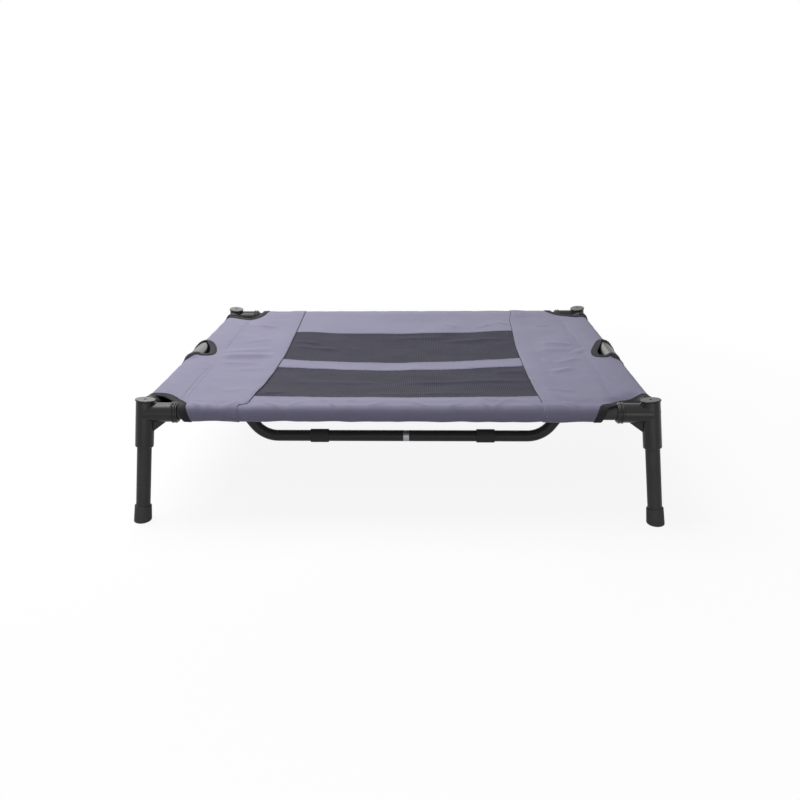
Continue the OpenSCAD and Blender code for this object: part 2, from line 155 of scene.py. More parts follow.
def make_world(fill):
    """Weak light from all round, and white for the camera."""
    world = bpy.data.worlds.new("studio")
    bpy.context.scene.world = world
    world.use_nodes = True
    nodes, links = world.node_tree.nodes, world.node_tree.links
    nodes.clear()
    soft = nodes.new("ShaderNodeBackground")
    soft.inputs["Strength"].default_value = fill
    white = nodes.new("ShaderNodeBackground")
    white.inputs["Strength"].default_value = 1
    mixed = nodes.new("ShaderNodeMixShader")
    out = nodes.new("ShaderNodeOutputWorld")
    for shader in (soft, white):
        shader.inputs["Color"].default_value = (1, 1, 1, 1)
    links.new(sees_background(nodes, links), mixed.inputs["Fac"])
    links.new(soft.outputs[0], mixed.inputs[1])
    links.new(white.outputs[0], mixed.inputs[2])
    links.new(mixed.outputs[0], out.inputs["Surface"])


make_floor()
make_world(FILL)
print("floor", 2 * FLOOR_HALF, "m wide; it and the background are white to the camera")

# %% Lamps
# Each lamp: its place, the point that it faces, its width and height, and its watts.
LAMPS = {
    "overhead": ((-0.55, 0.05, 1.4), (0, 0, 0.15), 1.0, 1.0, 21),
    "behind": ((-0.6, 2.5, 1.2), (0, 0, 0.15), 2.6, 0.8, 15),
    "front": ((0.2, -2.4, 0.25), (0, 0, 0.1), 2.2, 0.5, 11.5),
    "high": ((0.1, -1.3, 1.5), (0, 0, 0.15), 0.5, 0.5, 3),
}


def soft_lamp(name, place, aim, wide, high, watts):
    """A lamp that faces a point, unseen by the camera."""
    data = bpy.data.lights.new(name, "AREA")
    data.shape = "RECTANGLE"
    data.size, data.size_y = wide, high
    data.energy = watts
    lamp = bpy.data.objects.new(name, data)
    lamp.location = place
    lamp.visible_camera = False
    lamp.rotation_euler = (Vector(aim) - Vector(place)).to_track_quat("-Z", "Y").to_euler()
    bpy.context.scene.collection.objects.link(lamp)


for name, lamp in LAMPS.items():
    soft_lamp(name, *lamp)
print(len(LAMPS), "soft lamps:", ", ".join(LAMPS))

# %% [markdown]
# ## Finishes of the rigid pieces
#
# Moulded nylon, powder coat and rubber are all black here, but they don't look alike: the moulding has a fine
# spark-eroded grain and catches light on its edges, the coat has a slight orange peel, and rubber stays dull.
# A picture could be wrapped round each piece, but nodes that read the piece's own place need no unwrapping.
# The solids' edges are sharp, so a Bevel node rounds their light a little, and its difference from the true
# normal shows where edges are painted pale: partly wear, partly a painted highlight.

# %% Helpers for finishes


def new_finish(name):
    """A new material, with its nodes, its links and its main shader."""
    finish = bpy.data.materials.new(name)
    finish.use_nodes = True
    nodes, links = finish.node_tree.nodes, finish.node_tree.links
    return finish, nodes, links, nodes["Principled BSDF"]


def calc(tree, operation, *values):
    """Adds a Math node. Each value is a number or a socket."""
    node = tree.nodes.new("ShaderNodeMath")
    node.operation = operation
    for socket, value in zip(node.inputs, values):
        if isinstance(value, bpy.types.NodeSocket):
            tree.links.new(value, socket)
        else:
            socket.default_value = value
    return node.outputs[0]


def speckle(tree, place, scale, detail=2.0, stretch=(1, 1, 1)):
    """Noise between 0 and 1 over a place, with its grain in counts to the metre."""
    spread = tree.nodes.new("ShaderNodeMapping")
    spread.inputs["Scale"].default_value = stretch
    grain = tree.nodes.new("ShaderNodeTexNoise")
    grain.inputs["Scale"].default_value = scale
    grain.inputs["Detail"].default_value = detail
    tree.links.new(place, spread.inputs["Vector"])
    tree.links.new(spread.outputs[0], grain.inputs["Vector"])
    return grain.outputs["Fac"]


def between(tree, share, low, high):
    """Mixes two colours, or two numbers, by a share from 0 to 1."""
    node = tree.nodes.new("ShaderNodeMapRange" if isinstance(low, float) else "ShaderNodeMix")
    if isinstance(low, float):
        tree.links.new(share, node.inputs["Value"])
        node.inputs["To Min"].default_value = low
        node.inputs["To Max"].default_value = high
        return node.outputs["Result"]
    node.data_type = "RGBA"
    tree.links.new(share, node.inputs["Factor"])
    for name, colour in (("A", low), ("B", high)):
        socket = next(i for i in node.inputs if i.name == name and i.type == "RGBA")
        if isinstance(colour, bpy.types.NodeSocket):
            tree.links.new(colour, socket)
        else:
            socket.default_value = (*colour, 1)
    return next(o for o in node.outputs if o.type == "RGBA")


def relief(tree, height, depth, under=None):
    """Turns a height from 0 to 1 into a normal, with its depth in metres."""
    bump = tree.nodes.new("ShaderNodeBump")
    bump.inputs["Strength"].default_value = 1
    bump.inputs["Distance"].default_value = depth
    tree.links.new(height, bump.inputs["Height"])
    if under is not None:
        tree.links.new(under, bump.inputs["Normal"])
    return bump.outputs[0]


print("helpers for nodes: calc, speckle, between and relief")

# %% Black finishes and bare steel
# The radius that rounds the light on an edge and its samples, and how strongly and how finely edges are
# painted pale, as wear and as painted highlight.
EDGE_SOFT, EDGE_SAMPLES, EDGE_WEAR_AND_GLINT, WEAR_AND_GLINT_GRAIN = 0.0008, 6, 5.0, 260
# How fine the clouds of a surface are, and how far they darken, lighten, smooth and roughen it.
CLOUD_GRAIN, CLOUD_DARK, CLOUD_LIGHT, CLOUD_SMOOTH, CLOUD_ROUGH = 45, 0.8, 1.25, 0.06, 0.08
# How fine the turning marks on a collar are, along it and round it, and the clouds of its zinc.
TURNING, ZINC_CLOUDS = (4200, 60, 60), 160


def rigid_finish(name, body, worn_and_lit, rough, grain, depth, shine):
    """A moulded, coated or rubber surface: grain, cloudy gloss, softened edges painted pale, partly wear and
    partly painted highlight.
    """
    finish, nodes, links, shader = new_finish(name)
    tree = finish.node_tree
    place = nodes.new("ShaderNodeTexCoord").outputs["Object"]
    soft = nodes.new("ShaderNodeBevel")
    soft.samples = EDGE_SAMPLES
    soft.inputs["Radius"].default_value = EDGE_SOFT
    true = nodes.new("ShaderNodeNewGeometry").outputs["Normal"]
    turn = nodes.new("ShaderNodeVectorMath")
    turn.operation = "DOT_PRODUCT"
    links.new(soft.outputs[0], turn.inputs[0])
    links.new(true, turn.inputs[1])
    bent = calc(tree, "SUBTRACT", 1.0, turn.outputs["Value"])
    patchy = speckle(tree, place, WEAR_AND_GLINT_GRAIN, 4)
    wear_and_glint_raw = calc(tree, "MULTIPLY", calc(tree, "MULTIPLY", bent, EDGE_WEAR_AND_GLINT), patchy)
    wear_and_glint = calc(tree, "MINIMUM", wear_and_glint_raw, 1.0)
    cloudy = speckle(tree, place, CLOUD_GRAIN, 3)
    tone = between(tree, cloudy, [c * CLOUD_DARK for c in body], [c * CLOUD_LIGHT for c in body])
    # Edges are painted paler: partly real wear, partly a painted highlight where light would catch them.
    links.new(between(tree, wear_and_glint, tone, worn_and_lit), shader.inputs["Base Color"])
    links.new(between(tree, cloudy, rough - CLOUD_SMOOTH, rough + CLOUD_ROUGH), shader.inputs["Roughness"])
    fine = speckle(tree, place, grain, 2)
    links.new(relief(tree, fine, depth, soft.outputs[0]), shader.inputs["Normal"])
    shader.inputs["Specular IOR Level"].default_value = shine
    return finish


def steel_finish(name, dark, light, rough, depth, metal):
    """Dull zinc on steel, with turning marks round the collar."""
    finish, nodes, links, shader = new_finish(name)
    tree = finish.node_tree
    place = nodes.new("ShaderNodeTexCoord").outputs["Object"]
    rings = speckle(tree, place, 1, 3, TURNING)
    cloud = speckle(tree, place, ZINC_CLOUDS, 3)
    links.new(between(tree, cloud, dark, light), shader.inputs["Base Color"])
    links.new(between(tree, rings, *rough), shader.inputs["Roughness"])
    links.new(relief(tree, rings, depth), shader.inputs["Normal"])
    shader.inputs["Metallic"].default_value = metal
    return finish


rigid = {
    "moulded_plastic": rigid_finish(
        "moulded black nylon", body=(0.0110, 0.0110, 0.0120), worn_and_lit=(0.040, 0.040, 0.042),
        rough=0.30, grain=2600, depth=0.00002, shine=0.31,
    ),
    "coated_tube": rigid_finish(
        "black powder coat", body=(0.0500, 0.0500, 0.0520), worn_and_lit=(0.060, 0.060, 0.062),
        rough=0.46, grain=900, depth=0.00003, shine=0.16,
    ),
    "rubber": rigid_finish(
        "black rubber", body=(0.0600, 0.0595, 0.0625), worn_and_lit=(0.075, 0.075, 0.077),
        rough=0.70, grain=1800, depth=0.00003, shine=0.2,
    ),
    "bare_steel": steel_finish(
        "dull zinc", dark=(0.30, 0.30, 0.32), light=(0.42, 0.42, 0.44),
        rough=(0.42, 0.62), depth=0.00002, metal=0.8,
    ),
}
slot_of = {p["node"]: p["material_slot"] for p in frame["record"]["subparts"]}
for node, solid in frame["nodes"].items():
    if slot_of[node] in rigid:
        solid.data.materials.clear()
        solid.data.materials.append(rigid[slot_of[node]])
print("finished", sum(slot_of[n] in rigid for n in frame["nodes"]), "rigid solids")

# %% [markdown]
# ## How the cover lies on the frame
#
# The cover is cut flat and then sleeved: each edge goes over its rail, round the outside and back under,
# where it is sewn to itself. So every place on the flat cut has one place on the frame. The cloth could be
# draped by a simulation, but this one is stretched tight by the rails and its shape is known: a shallow
# dish between the stitch lines, and a round sleeve past them. Here s runs across the cot and t along it,
# both on the flat cut. The plain solids say where the sleeves and seams are, so the boxes round them are
# read first.

# %% Room that the plain cover takes


def box_of(node):
    """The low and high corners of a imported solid's box, to a tenth of a millimetre."""
    solid = frame["nodes"][node]
    corners = [solid.matrix_world @ Vector(corner) for corner in solid.bound_box]
    return [[round(pick(corner[k] for corner in corners), 4) for k in range(3)] for pick in (min, max)]


SLEEVE_R = 0.0122
cover_low, cover_high = box_of("cover_left")
SLEEVE_X = round(-cover_low[0] - SLEEVE_R, 4)
SLEEVE_Y, SLEEVE_Z = (round(cover_high[k] - SLEEVE_R, 4) for k in (1, 2))
SEAM = -cover_high[0]
STRIP_FRONT, STRIP_REAR = (corner[1] for corner in box_of("cover_centre"))
MESH_FRONT, MESH_REAR = box_of("mesh_front")[0][1], box_of("mesh_rear")[1][1]
print("sleeves", SLEEVE_X, SLEEVE_Y, SLEEVE_Z, "seam", SEAM, "strip", STRIP_FRONT, STRIP_REAR)
print("mesh from", MESH_FRONT, "to", MESH_REAR)

# %% The flat cut and its place on the frame
# The cloth's thickness, where the sleeves are sewn shut, across and along, and the hem past that stitching.
CLOTH = 0.0009
STITCH_X, STITCH_Y = 0.3110, 0.2385
HEM = 0.010
# The dish's half width and half length, its depth, and how much shallower it is on the right and at the rear.
DISH_X, DISH_Y, DISH_DEPTH = 0.334, 0.261, 0.0182
DISH_LEAN_X, DISH_LEAN_Y = 0.25, 0.12

# The cloth turns so far round a rail and then goes straight to the stitching. ROUND, FLAP and HEM are the
# lengths of cloth that this takes past the rail's top.
flap_in, flap_up = STITCH_X - SLEEVE_X, SLEEVE_R - 2 * CLOTH
flap_reach = math.hypot(flap_in, flap_up)
TURN = 2 * math.pi - (
    math.atan2(flap_up, flap_in) + math.acos(SLEEVE_R / flap_reach) - math.pi / 2
)
ROUND = SLEEVE_R * TURN
FLAP = math.sqrt(flap_reach**2 - SLEEVE_R**2)
EDGE = ROUND + FLAP + HEM


def smooth(x):
    """A step from 0 to 1 without corners."""
    x = min(1.0, max(0.0, x))
    return x * x * (3 - 2 * x)


def dish(x, y):
    """How far the cover hangs below its edges: a little less on the right and at the rear."""
    lean = (1 - DISH_LEAN_X * max(0.0, x) / DISH_X) * (1 - DISH_LEAN_Y * y / DISH_Y)
    return DISH_DEPTH * lean * max(0.0, 1 - (x / DISH_X) ** 2) * max(0.0, 1 - (y / DISH_Y) ** 2)


def round_rail(past):
    """Out and up from a sleeve's centre after some cloth has gone past the rail's top, with the way out."""
    if past <= 0:
        return past, SLEEVE_R, (0, 1)
    turn = min(past / SLEEVE_R, TURN)
    out, up = SLEEVE_R * math.sin(turn), SLEEVE_R * math.cos(turn)
    rise = min(max(0.0, past - ROUND), FLAP)
    hem = max(0.0, past - ROUND - FLAP)
    out += rise * math.cos(turn) - hem
    up -= rise * math.sin(turn)
    return out, up, (math.sin(turn), math.cos(turn)) if hem == 0 else (0, -1)


def lay(s, t, lift=0.0):
    """The place of a point of the flat cut on the frame, lifted off the cloth, and the normal there."""
    if abs(s) > SLEEVE_X:
        out, up, way = round_rail(abs(s) - SLEEVE_X)
        side = math.copysign(1, s)
        place = Vector((side * (SLEEVE_X + out), t, SLEEVE_Z + up))
        normal = Vector((side * way[0], 0, way[1]))
    elif abs(t) > SLEEVE_Y:
        out, up, way = round_rail(abs(t) - SLEEVE_Y)
        side = math.copysign(1, t)
        place = Vector((s, side * (SLEEVE_Y + out), SLEEVE_Z + up))
        normal = Vector((0, side * way[0], way[1]))
    else:
        place, normal = Vector((s, t, SLEEVE_Z + SLEEVE_R)), Vector((0, 0, 1))
    place.z -= dish(place.x, place.y)
    return place + lift * normal, normal


print("cloth past a rail's top:", round(EDGE * 1000, 1), "mm, round the rail", round(ROUND * 1000, 1))

# %% [markdown]
# ## The cut edges
#
# Each corner of the cover is cut away in a bowed line that clears the moulded corner, and each side has a
# notch with round ends where the tee sits on the rail. Both lines run on round the rails, a little askew
# there, as the tape pulls the cloth. They are cut and sewn by hand, so no two are quite alike: each has its
# own row of sizes. The lines serve twice: as the cloth's outline and as the line that the tape follows.

# %% Corner cuts and notches on the flat
HANDS = {-1: "left", 1: "right"}
# Each corner cut in millimetres, as if it were at the rear right: points from the end rail's top to the side
# rail's top. A corner is named by its side and its end.
CUTS = {
    (-1, -1): [
        (302, 278), (308, 270.5), (317, 260), (326, 250.5), (333, 244), (341, 242), (350.5, 242),
    ],
    (1, -1): [
        (306, 278), (309, 269.5), (314, 264), (325, 260.5), (335, 254.5), (343.5, 247.5), (350.5, 243),
    ],
    (-1, 1): [
        (294, 278), (294.5, 262), (297, 247), (303, 235), (312, 227), (322, 228), (332, 233), (341, 238),
        (350.5, 241),
    ],
    (1, 1): [
        (296, 278), (300, 269), (306, 260), (314, 252), (325, 244), (335, 239), (343, 239), (350.5, 241),
    ],
}
# On its way round the end rail a cut jogs and slants inwards, and on the side rail it slants, in millimetres.
STRAYS = {(-1, -1): (0, 6, 5), (1, -1): (15, 8, 6), (-1, 1): (0, 11, 15), (1, 1): (0, 9, 7)}
# A slant takes SLANT_REACH quarter turns round the rail, and a jog one quarter turn divided by JOG_HASTE.
JOG_HASTE, SLANT_REACH = 1.8, 1.6
# Each notch in millimetres, as if it were on the right: points from the rail's top at the rear to the front.
NOTCHES = {
    -1: [
        (350.5, 41), (347, 40), (337, 20), (331, 0), (328, -15), (329, -24), (335, -27.5), (343.5, -27),
        (350.5, -31),
    ],
    1: [
        (350.5, 40), (347.5, 35), (338, 8), (331, -13), (329, -31), (331.5, -39), (338, -40), (345, -37.5),
        (350.5, -38),
    ],
}
# How far both ends of a notch stray forwards round the rail, and how many quarter turns the front one takes.
NOTCH_STRAY, NOTCH_REACH = 0.025, 1.2
# How many steps a line has between two points of a cut, between two of a notch, and on the way round a rail.
CUT_STEPS, NOTCH_STEPS, ROUND_STEPS = 5, 4, 24
# The cloth of a quarter turn, from a rail's top to its side.
QUARTER = SLEEVE_R * math.pi / 2
# The tape stops just before the cloth leaves the rail.
TAPED = ROUND * 0.97


def steps(first, last, count):
    """Evenly spaced values from first to last."""
    return [first + (last - first) * i / count for i in range(count + 1)]


def curve(points, count):
    """A smooth line in metres through points in millimetres, with that many steps from each to the next."""
    ends = [points[0], *points, points[-1]]
    line = []
    for a, b, c, d in zip(ends, ends[1:], ends[2:], ends[3:]):
        for x in steps(0, 1, count)[:-1]:
            bend = [
                2 * a[k] - 5 * b[k] + 4 * c[k] - d[k] + x * (3 * (b[k] - c[k]) + d[k] - a[k]) for k in (0, 1)
            ]
            line.append(tuple((b[k] + x * (c[k] - a[k] + x * bend[k]) / 2) / 1000 for k in (0, 1)))
    return line + [(points[-1][0] / 1000, points[-1][1] / 1000)]


def corner_line(side, end, past):
    """A cut line as if it were at the rear right, from the end sleeve's underside to the side sleeve's."""
    flat = curve(CUTS[side, end], CUT_STEPS)
    jog, slant, slant_side = (stray / 1000 for stray in STRAYS[side, end])
    start, stop = flat[0][0], flat[-1][1]

    def strayed(d):
        """The cut's place across, so far round the end rail."""
        return start - jog * smooth(d / QUARTER * JOG_HASTE) - slant * smooth(d / QUARTER / SLANT_REACH)

    over_end = [(strayed(d), SLEEVE_Y + d) for d in steps(past, 0, ROUND_STEPS)[:-1]]
    over_side = [
        (SLEEVE_X + d, stop - slant_side * smooth(d / QUARTER / SLANT_REACH))
        for d in steps(0, past, ROUND_STEPS)[1:]
    ]
    return over_end + flat + over_side


def notch_line(side, past):
    """A notch's line as if it were on the right, from its rear end's underside to its front end's."""
    flat = curve(NOTCHES[side], NOTCH_STEPS)
    start, stop = flat[0][1], flat[-1][1]
    rear = [
        (SLEEVE_X + d, start - NOTCH_STRAY * smooth(d / QUARTER)) for d in steps(past, 0, ROUND_STEPS)[:-1]
    ]
    turns = [
        (d, min(1.0, d / QUARTER / NOTCH_REACH) * math.pi / 2) for d in steps(0, past, ROUND_STEPS)[1:]
    ]
    return rear + flat + [(SLEEVE_X + d, stop - NOTCH_STRAY * math.sin(a)) for d, a in turns]


print(len(CUTS), "corner cuts,", len(NOTCHES), "notches; a rail's quarter", round(QUARTER * 1000, 1), "mm")

# %% [markdown]
# ## Cutting cloth in code
#
# A sheet with curved cuts could be a grid with its corners trimmed off, but trimmed cells leave ragged edges.
# Instead the outline and a net of inner points go to a triangulation that keeps the outline exactly, and most
# pairs of triangles are joined into four-sided faces. Each point then goes to its place on the frame, and
# keeps its flat place as a UV map, so that the weave follows the cloth round the rails.

# %% Cloth cutter
BODY = "frame_and_cover"
STEP = 0.0036
# How near the net's points come to the outline and to rows of set points, and these to the outline, in steps.
NET_CLEAR, ROW_CLEAR = 0.45, 0.1
# Points that are tested at once, a length that counts as nothing, and how near two points are the same.
BATCH, NOTHING, SAME = 1500, 1e-12, 1e-7
# How far two triangles may bend, and their four-sided face be off square, in radians, and still be joined.
JOIN_BEND, JOIN_SKEW = 0.6, 0.9


def keep_inside(points, rim, hole_shade):
    """The points that lie inside an outline, some way in from it."""
    start, end = rim, np.roll(rim, -1, axis=0)
    along = end - start
    kept = []
    for part in np.array_split(points, max(1, len(points) // BATCH)):
        p = part[:, None, :]
        span = (start[:, 1] > p[..., 1]) != (end[:, 1] > p[..., 1])
        drop = np.where(along[:, 1] == 0, NOTHING, along[:, 1])
        cross = start[:, 0] + (p[..., 1] - start[:, 1]) * along[:, 0] / drop
        inside = (span & (p[..., 0] < cross)).sum(1) % 2 == 1
        share = ((p - start) * along).sum(-1) / np.maximum((along**2).sum(-1), NOTHING)
        near = start + np.clip(share, 0, 1)[..., None] * along
        far = np.sqrt(((p - near) ** 2).sum(-1)).min(1) > hole_shade
        kept.append(part[inside & far])
    return np.concatenate(kept)


def add_piece(name, bm, finish):
    """Turns a finished bmesh into a piece of the cover, with its finish, fixed to the frame's body."""
    mesh = bpy.data.meshes.new(name)
    bm.to_mesh(mesh)
    bm.free()
    piece = bpy.data.objects.new(name, mesh)
    bpy.context.scene.collection.objects.link(piece)
    mesh.materials.append(finish)
    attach(piece, BODY)
    return piece


def cut_cloth(name, outline, place, finish, thick=CLOTH, rows=()):
    """Cuts a sheet on the flat, lays it on the frame by place(s, t), and gives it its thickness."""
    rim = np.array(outline)
    low, high = rim.min(0), rim.max(0)
    net = np.stack(
        np.meshgrid(np.arange(low[0] + STEP, high[0], STEP), np.arange(low[1] + STEP, high[1], STEP)), -1
    ).reshape(-1, 2)
    rows = np.array(rows).reshape(-1, 2)
    if len(rows):
        rows = keep_inside(rows, rim, STEP * ROW_CLEAR)
        clear = [np.abs(rows - p).max(1).min() > STEP * NET_CLEAR for p in net]
        net = net[np.array(clear)]
    inner = np.concatenate([keep_inside(net, rim, STEP * NET_CLEAR), rows])
    points = [Vector(p) for p in np.concatenate([rim, inner])]
    flat, _, faces, *_ = geometry.delaunay_2d_cdt(points, [], [list(range(len(rim)))], 1, SAME)
    bm = bmesh.new()
    cut = bm.loops.layers.uv.new("cut")
    verts = [bm.verts.new(place(p.x, p.y)) for p in flat]
    for corners in faces:
        face = bm.faces.new([verts[i] for i in corners])
        face.smooth = True
        for loop, i in zip(face.loops, corners):
            loop[cut].uv = flat[i]
    bmesh.ops.join_triangles(
        bm, faces=bm.faces[:], angle_face_threshold=JOIN_BEND, angle_shape_threshold=JOIN_SKEW
    )
    piece = add_piece(name, bm, finish)
    doubled = piece.modifiers.new("thickness", "SOLIDIFY")
    doubled.thickness = thick
    doubled.offset = -1
    sides = zip(points[: len(rim)], points[1 : len(rim)] + points[:1])
    area = abs(sum(a.x * b.y - b.x * a.y for a, b in sides)) / 2
    size = [float(x) for x in high - low]
    count = len(piece.data.polygons)
    print(name, count, "faces, cut", [round(x, 3) for x in size], "m, area", round(area, 4))
    return piece, (size[0], size[1]), area


print("cloth is cut in steps of", round(STEP * 1000, 1), "mm")

# %% [markdown]
# ## The cloth's own finish
#
# The panels are coated polyester in plain weave: grey with a touch of violet, hardly any gloss, and thicker
# yarns that show as faint streaks across the cot. Two sine waves make the weave, one for each way of the
# yarn, and stretched noise makes the streaks. What gloss there is comes and goes in clouds, as on cloth
# that has been folded in a box. The mesh, the tape and the thread are made in the same way, each with its
# own ribs.

# %% Cloth and mesh finishes
# How fine streaks, warp and clouds are, in counts to the metre, the first two across and along the cot.
STREAKS, WARP, CLOTH_CLOUDS = (28, 620, 1), (700, 22, 1), 24
MESH_STREAKS, MESH_CLOUDS = (30, 900, 1), 30


def flat_place(nodes):
    """A point's place on the flat cut, from its UV map."""
    where = nodes.new("ShaderNodeUVMap")
    where.uv_map = "cut"
    return where.outputs[0]


def wave(tree, along, pitch):
    """A sine from -1 to 1 with that pitch in metres."""
    return calc(tree, "SINE", calc(tree, "MULTIPLY", along, 2 * math.pi / pitch))


def across_and_along(tree, place):
    """Splits a flat place into its ways across and along."""
    parts = tree.nodes.new("ShaderNodeSeparateXYZ")
    tree.links.new(place, parts.inputs[0])
    return parts.outputs[0], parts.outputs[1]


def weighed(tree, *shares):
    """The sum of some sockets, each times its own weight."""
    parts = [calc(tree, "MULTIPLY", socket, weight) for socket, weight in shares]
    total = parts[0]
    for part in parts[1:]:
        total = calc(tree, "ADD", total, part)
    return total


def soft_finish(finish, tone, clouds, height, dark, light, rough, depth, shine):
    """Links a tone, clouds of gloss and a relief to the shader of a soft finish."""
    tree = finish.node_tree
    shader = tree.nodes["Principled BSDF"]
    tree.links.new(between(tree, tone, dark, light), shader.inputs["Base Color"])
    tree.links.new(between(tree, clouds, *rough), shader.inputs["Roughness"])
    tree.links.new(relief(tree, height, depth), shader.inputs["Normal"])
    shader.inputs["Specular IOR Level"].default_value = shine
    return finish


def cloth_finish(name, pitch, **look):
    """Coated cloth in plain weave, with streaks of thicker yarn."""
    finish, nodes, _, _ = new_finish(name)
    tree = finish.node_tree
    place = flat_place(nodes)
    s, t = across_and_along(tree, place)
    crossing = calc(tree, "MULTIPLY", wave(tree, s, pitch), wave(tree, t, pitch))
    weave = calc(tree, "MULTIPLY_ADD", crossing, 0.5, 0.5)
    streaks = speckle(tree, place, 1, 3, STREAKS)
    warp = speckle(tree, place, 1, 2, WARP)
    clouds = speckle(tree, place, CLOTH_CLOUDS, 4)
    tone = weighed(tree, (streaks, 0.35), (clouds, 0.35), (warp, 0.15), (weave, 0.15))
    height = weighed(tree, (weave, 0.6), (streaks, 0.4))
    return soft_finish(finish, tone, clouds, height, **look)


def mesh_finish(name, pitch, **look):
    """Open mesh of coated yarn: ribs both ways, and between them dark spots of painted shade that stand for
    holes.
    """
    finish, nodes, _, _ = new_finish(name)
    tree = finish.node_tree
    place = flat_place(nodes)
    s, t = across_and_along(tree, place)
    rib = calc(tree, "ABSOLUTE", wave(tree, s, 2 * pitch))
    cross = calc(tree, "ABSOLUTE", wave(tree, t, 2 * pitch))
    # Where both ribs are high lies a hole, painted dark: painted shade for what shows through it, as no hole
    # is cut.
    hole_shade = calc(tree, "MULTIPLY", rib, cross)
    yarn = calc(tree, "SUBTRACT", 1.0, hole_shade)
    clouds = speckle(tree, place, MESH_CLOUDS, 3)
    streaks = speckle(tree, place, 1, 2, MESH_STREAKS)
    uneven_dye = calc(tree, "ADD", calc(tree, "MULTIPLY", clouds, 0.6), streaks)
    tone = calc(tree, "MULTIPLY", yarn, uneven_dye)
    return soft_finish(finish, tone, clouds, yarn, **look)


cloth = cloth_finish(
    "grey violet coated cloth", dark=(0.178, 0.170, 0.246), light=(0.252, 0.241, 0.344),
    pitch=0.0009, rough=(0.40, 0.58), depth=0.00007, shine=0.08,
)
open_mesh = mesh_finish(
    "dark open mesh", dark=(0.013, 0.0125, 0.018), light=(0.073, 0.071, 0.100),
    pitch=0.0030, rough=(0.56, 0.70), depth=0.00025, shine=0.05,
)
print("finishes:", cloth.name, "and", open_mesh.name)

# %% Tape and thread finishes
TAPE_CLOUDS = 120


def tape_finish(name, pitch, **look):
    """Woven tape: fine ribs along it and a dull face."""
    finish, nodes, _, _ = new_finish(name)
    tree = finish.node_tree
    place = flat_place(nodes)
    along = across_and_along(tree, place)[0]
    ribs = calc(tree, "MULTIPLY_ADD", wave(tree, along, pitch), 0.5, 0.5)
    clouds = speckle(tree, place, TAPE_CLOUDS, 3)
    tone = weighed(tree, (ribs, 0.5), (clouds, 0.5))
    return soft_finish(finish, tone, clouds, ribs, **look)


def thread_finish(name, dark, light, pitch=0.0009, rough=0.6, depth=0.00005, shine=0.2):
    """Sewing thread, with its twist as slanting bands."""
    finish, nodes, links, shader = new_finish(name)
    tree = finish.node_tree
    s, t = across_and_along(tree, flat_place(nodes))
    twist = calc(tree, "MULTIPLY_ADD", wave(tree, calc(tree, "ADD", s, t), pitch), 0.5, 0.5)
    links.new(between(tree, twist, dark, light), shader.inputs["Base Color"])
    links.new(relief(tree, twist, depth), shader.inputs["Normal"])
    shader.inputs["Roughness"].default_value = rough
    shader.inputs["Specular IOR Level"].default_value = shine
    return finish


black_tape = tape_finish(
    "black woven tape", dark=(0.020, 0.0195, 0.022), light=(0.050, 0.049, 0.054),
    pitch=0.0011, rough=(0.62, 0.80), depth=0.0001, shine=0.08,
)
grey_thread = thread_finish("grey thread", dark=(0.22, 0.21, 0.29), light=(0.38, 0.365, 0.48))
black_thread = thread_finish("black thread", dark=(0.006, 0.006, 0.008), light=(0.020, 0.019, 0.024))
print("finishes:", ", ".join(finish.name for finish in (black_tape, grey_thread, black_thread)))

# %% [markdown]
# ## Slack, folds and creases
#
# Tight cloth is never quite flat. It has a broad unevenness from the way it was packed, small lumps of the
# coat, puckers along every row of stitching, and a few long creases that start at the notches and corners,
# where the pull changes. All of them are one lift over the flat cut, shared by panels, tapes and thread, so
# that layers that lie on each other stay so. The cut edges droop a little, because nothing holds them up.

# %% Noise and slack


def uneven(size, s, t, seed):
    """Smooth noise from about -1 to 1 whose bumps are about that size in metres."""
    return noise.noise(Vector((s / size, t / size, seed)))


# The broad slack: its height, its bumps' size, how far in from a rail's top it starts, and how far it grows.
SLACK, SLACK_SIZE, SLACK_IN, SLACK_FULL = 0.0018, 0.062, 0.012, 0.06
# The coat's own lumps: their height and size.
COAT, COAT_SIZE = 0.00032, 0.017
# A sleeve's lumps: how far in from the rail's top they begin, their height on the front sleeve and on the
# others, their size along the sleeve, how much shorter they are round it, and how far they all stand out.
CREST, LUMPS_FRONT, LUMPS = 0.009, 0.0012, 0.0004
LUMP_SIZE, LUMP_SHORT, LUMP_OUT = 0.026, 1.2, 0.35
# How far an end sleeve stands off its rail, half way from its top to its side.
SHOULDER = 0.0021
SLACK_SEED, COAT_SEED, LUMP_SEED = 3.1, 8.7, 5.5


def slack_lift(s, t):
    """The slack between the rails and the lumps of the coat."""
    across = smooth((SLEEVE_X - SLACK_IN - abs(s)) / SLACK_FULL)
    along = smooth((SLEEVE_Y - SLACK_IN - abs(t)) / SLACK_FULL)
    broad = SLACK * uneven(SLACK_SIZE, s, t, SLACK_SEED) * (across * along)
    return broad + COAT * uneven(COAT_SIZE, s, t, COAT_SEED)


def sleeve_lift(s, t):
    """The lumps of a sleeve."""
    past_side, past_end = abs(s) - SLEEVE_X, abs(t) - SLEEVE_Y
    past = max(past_side, past_end)
    along = s if past_end > past_side else t
    lumps = LUMPS_FRONT if t < -SLEEVE_Y + CREST else LUMPS
    out = uneven(LUMP_SIZE, along, past * LUMP_SHORT, LUMP_SEED) + LUMP_OUT
    return lumps * out * smooth((past + CREST) / CREST / 2)


print("slack up to", round(SLACK * 1000, 2), "mm; front lumps up to", round(LUMPS_FRONT * 1000, 2), "mm")

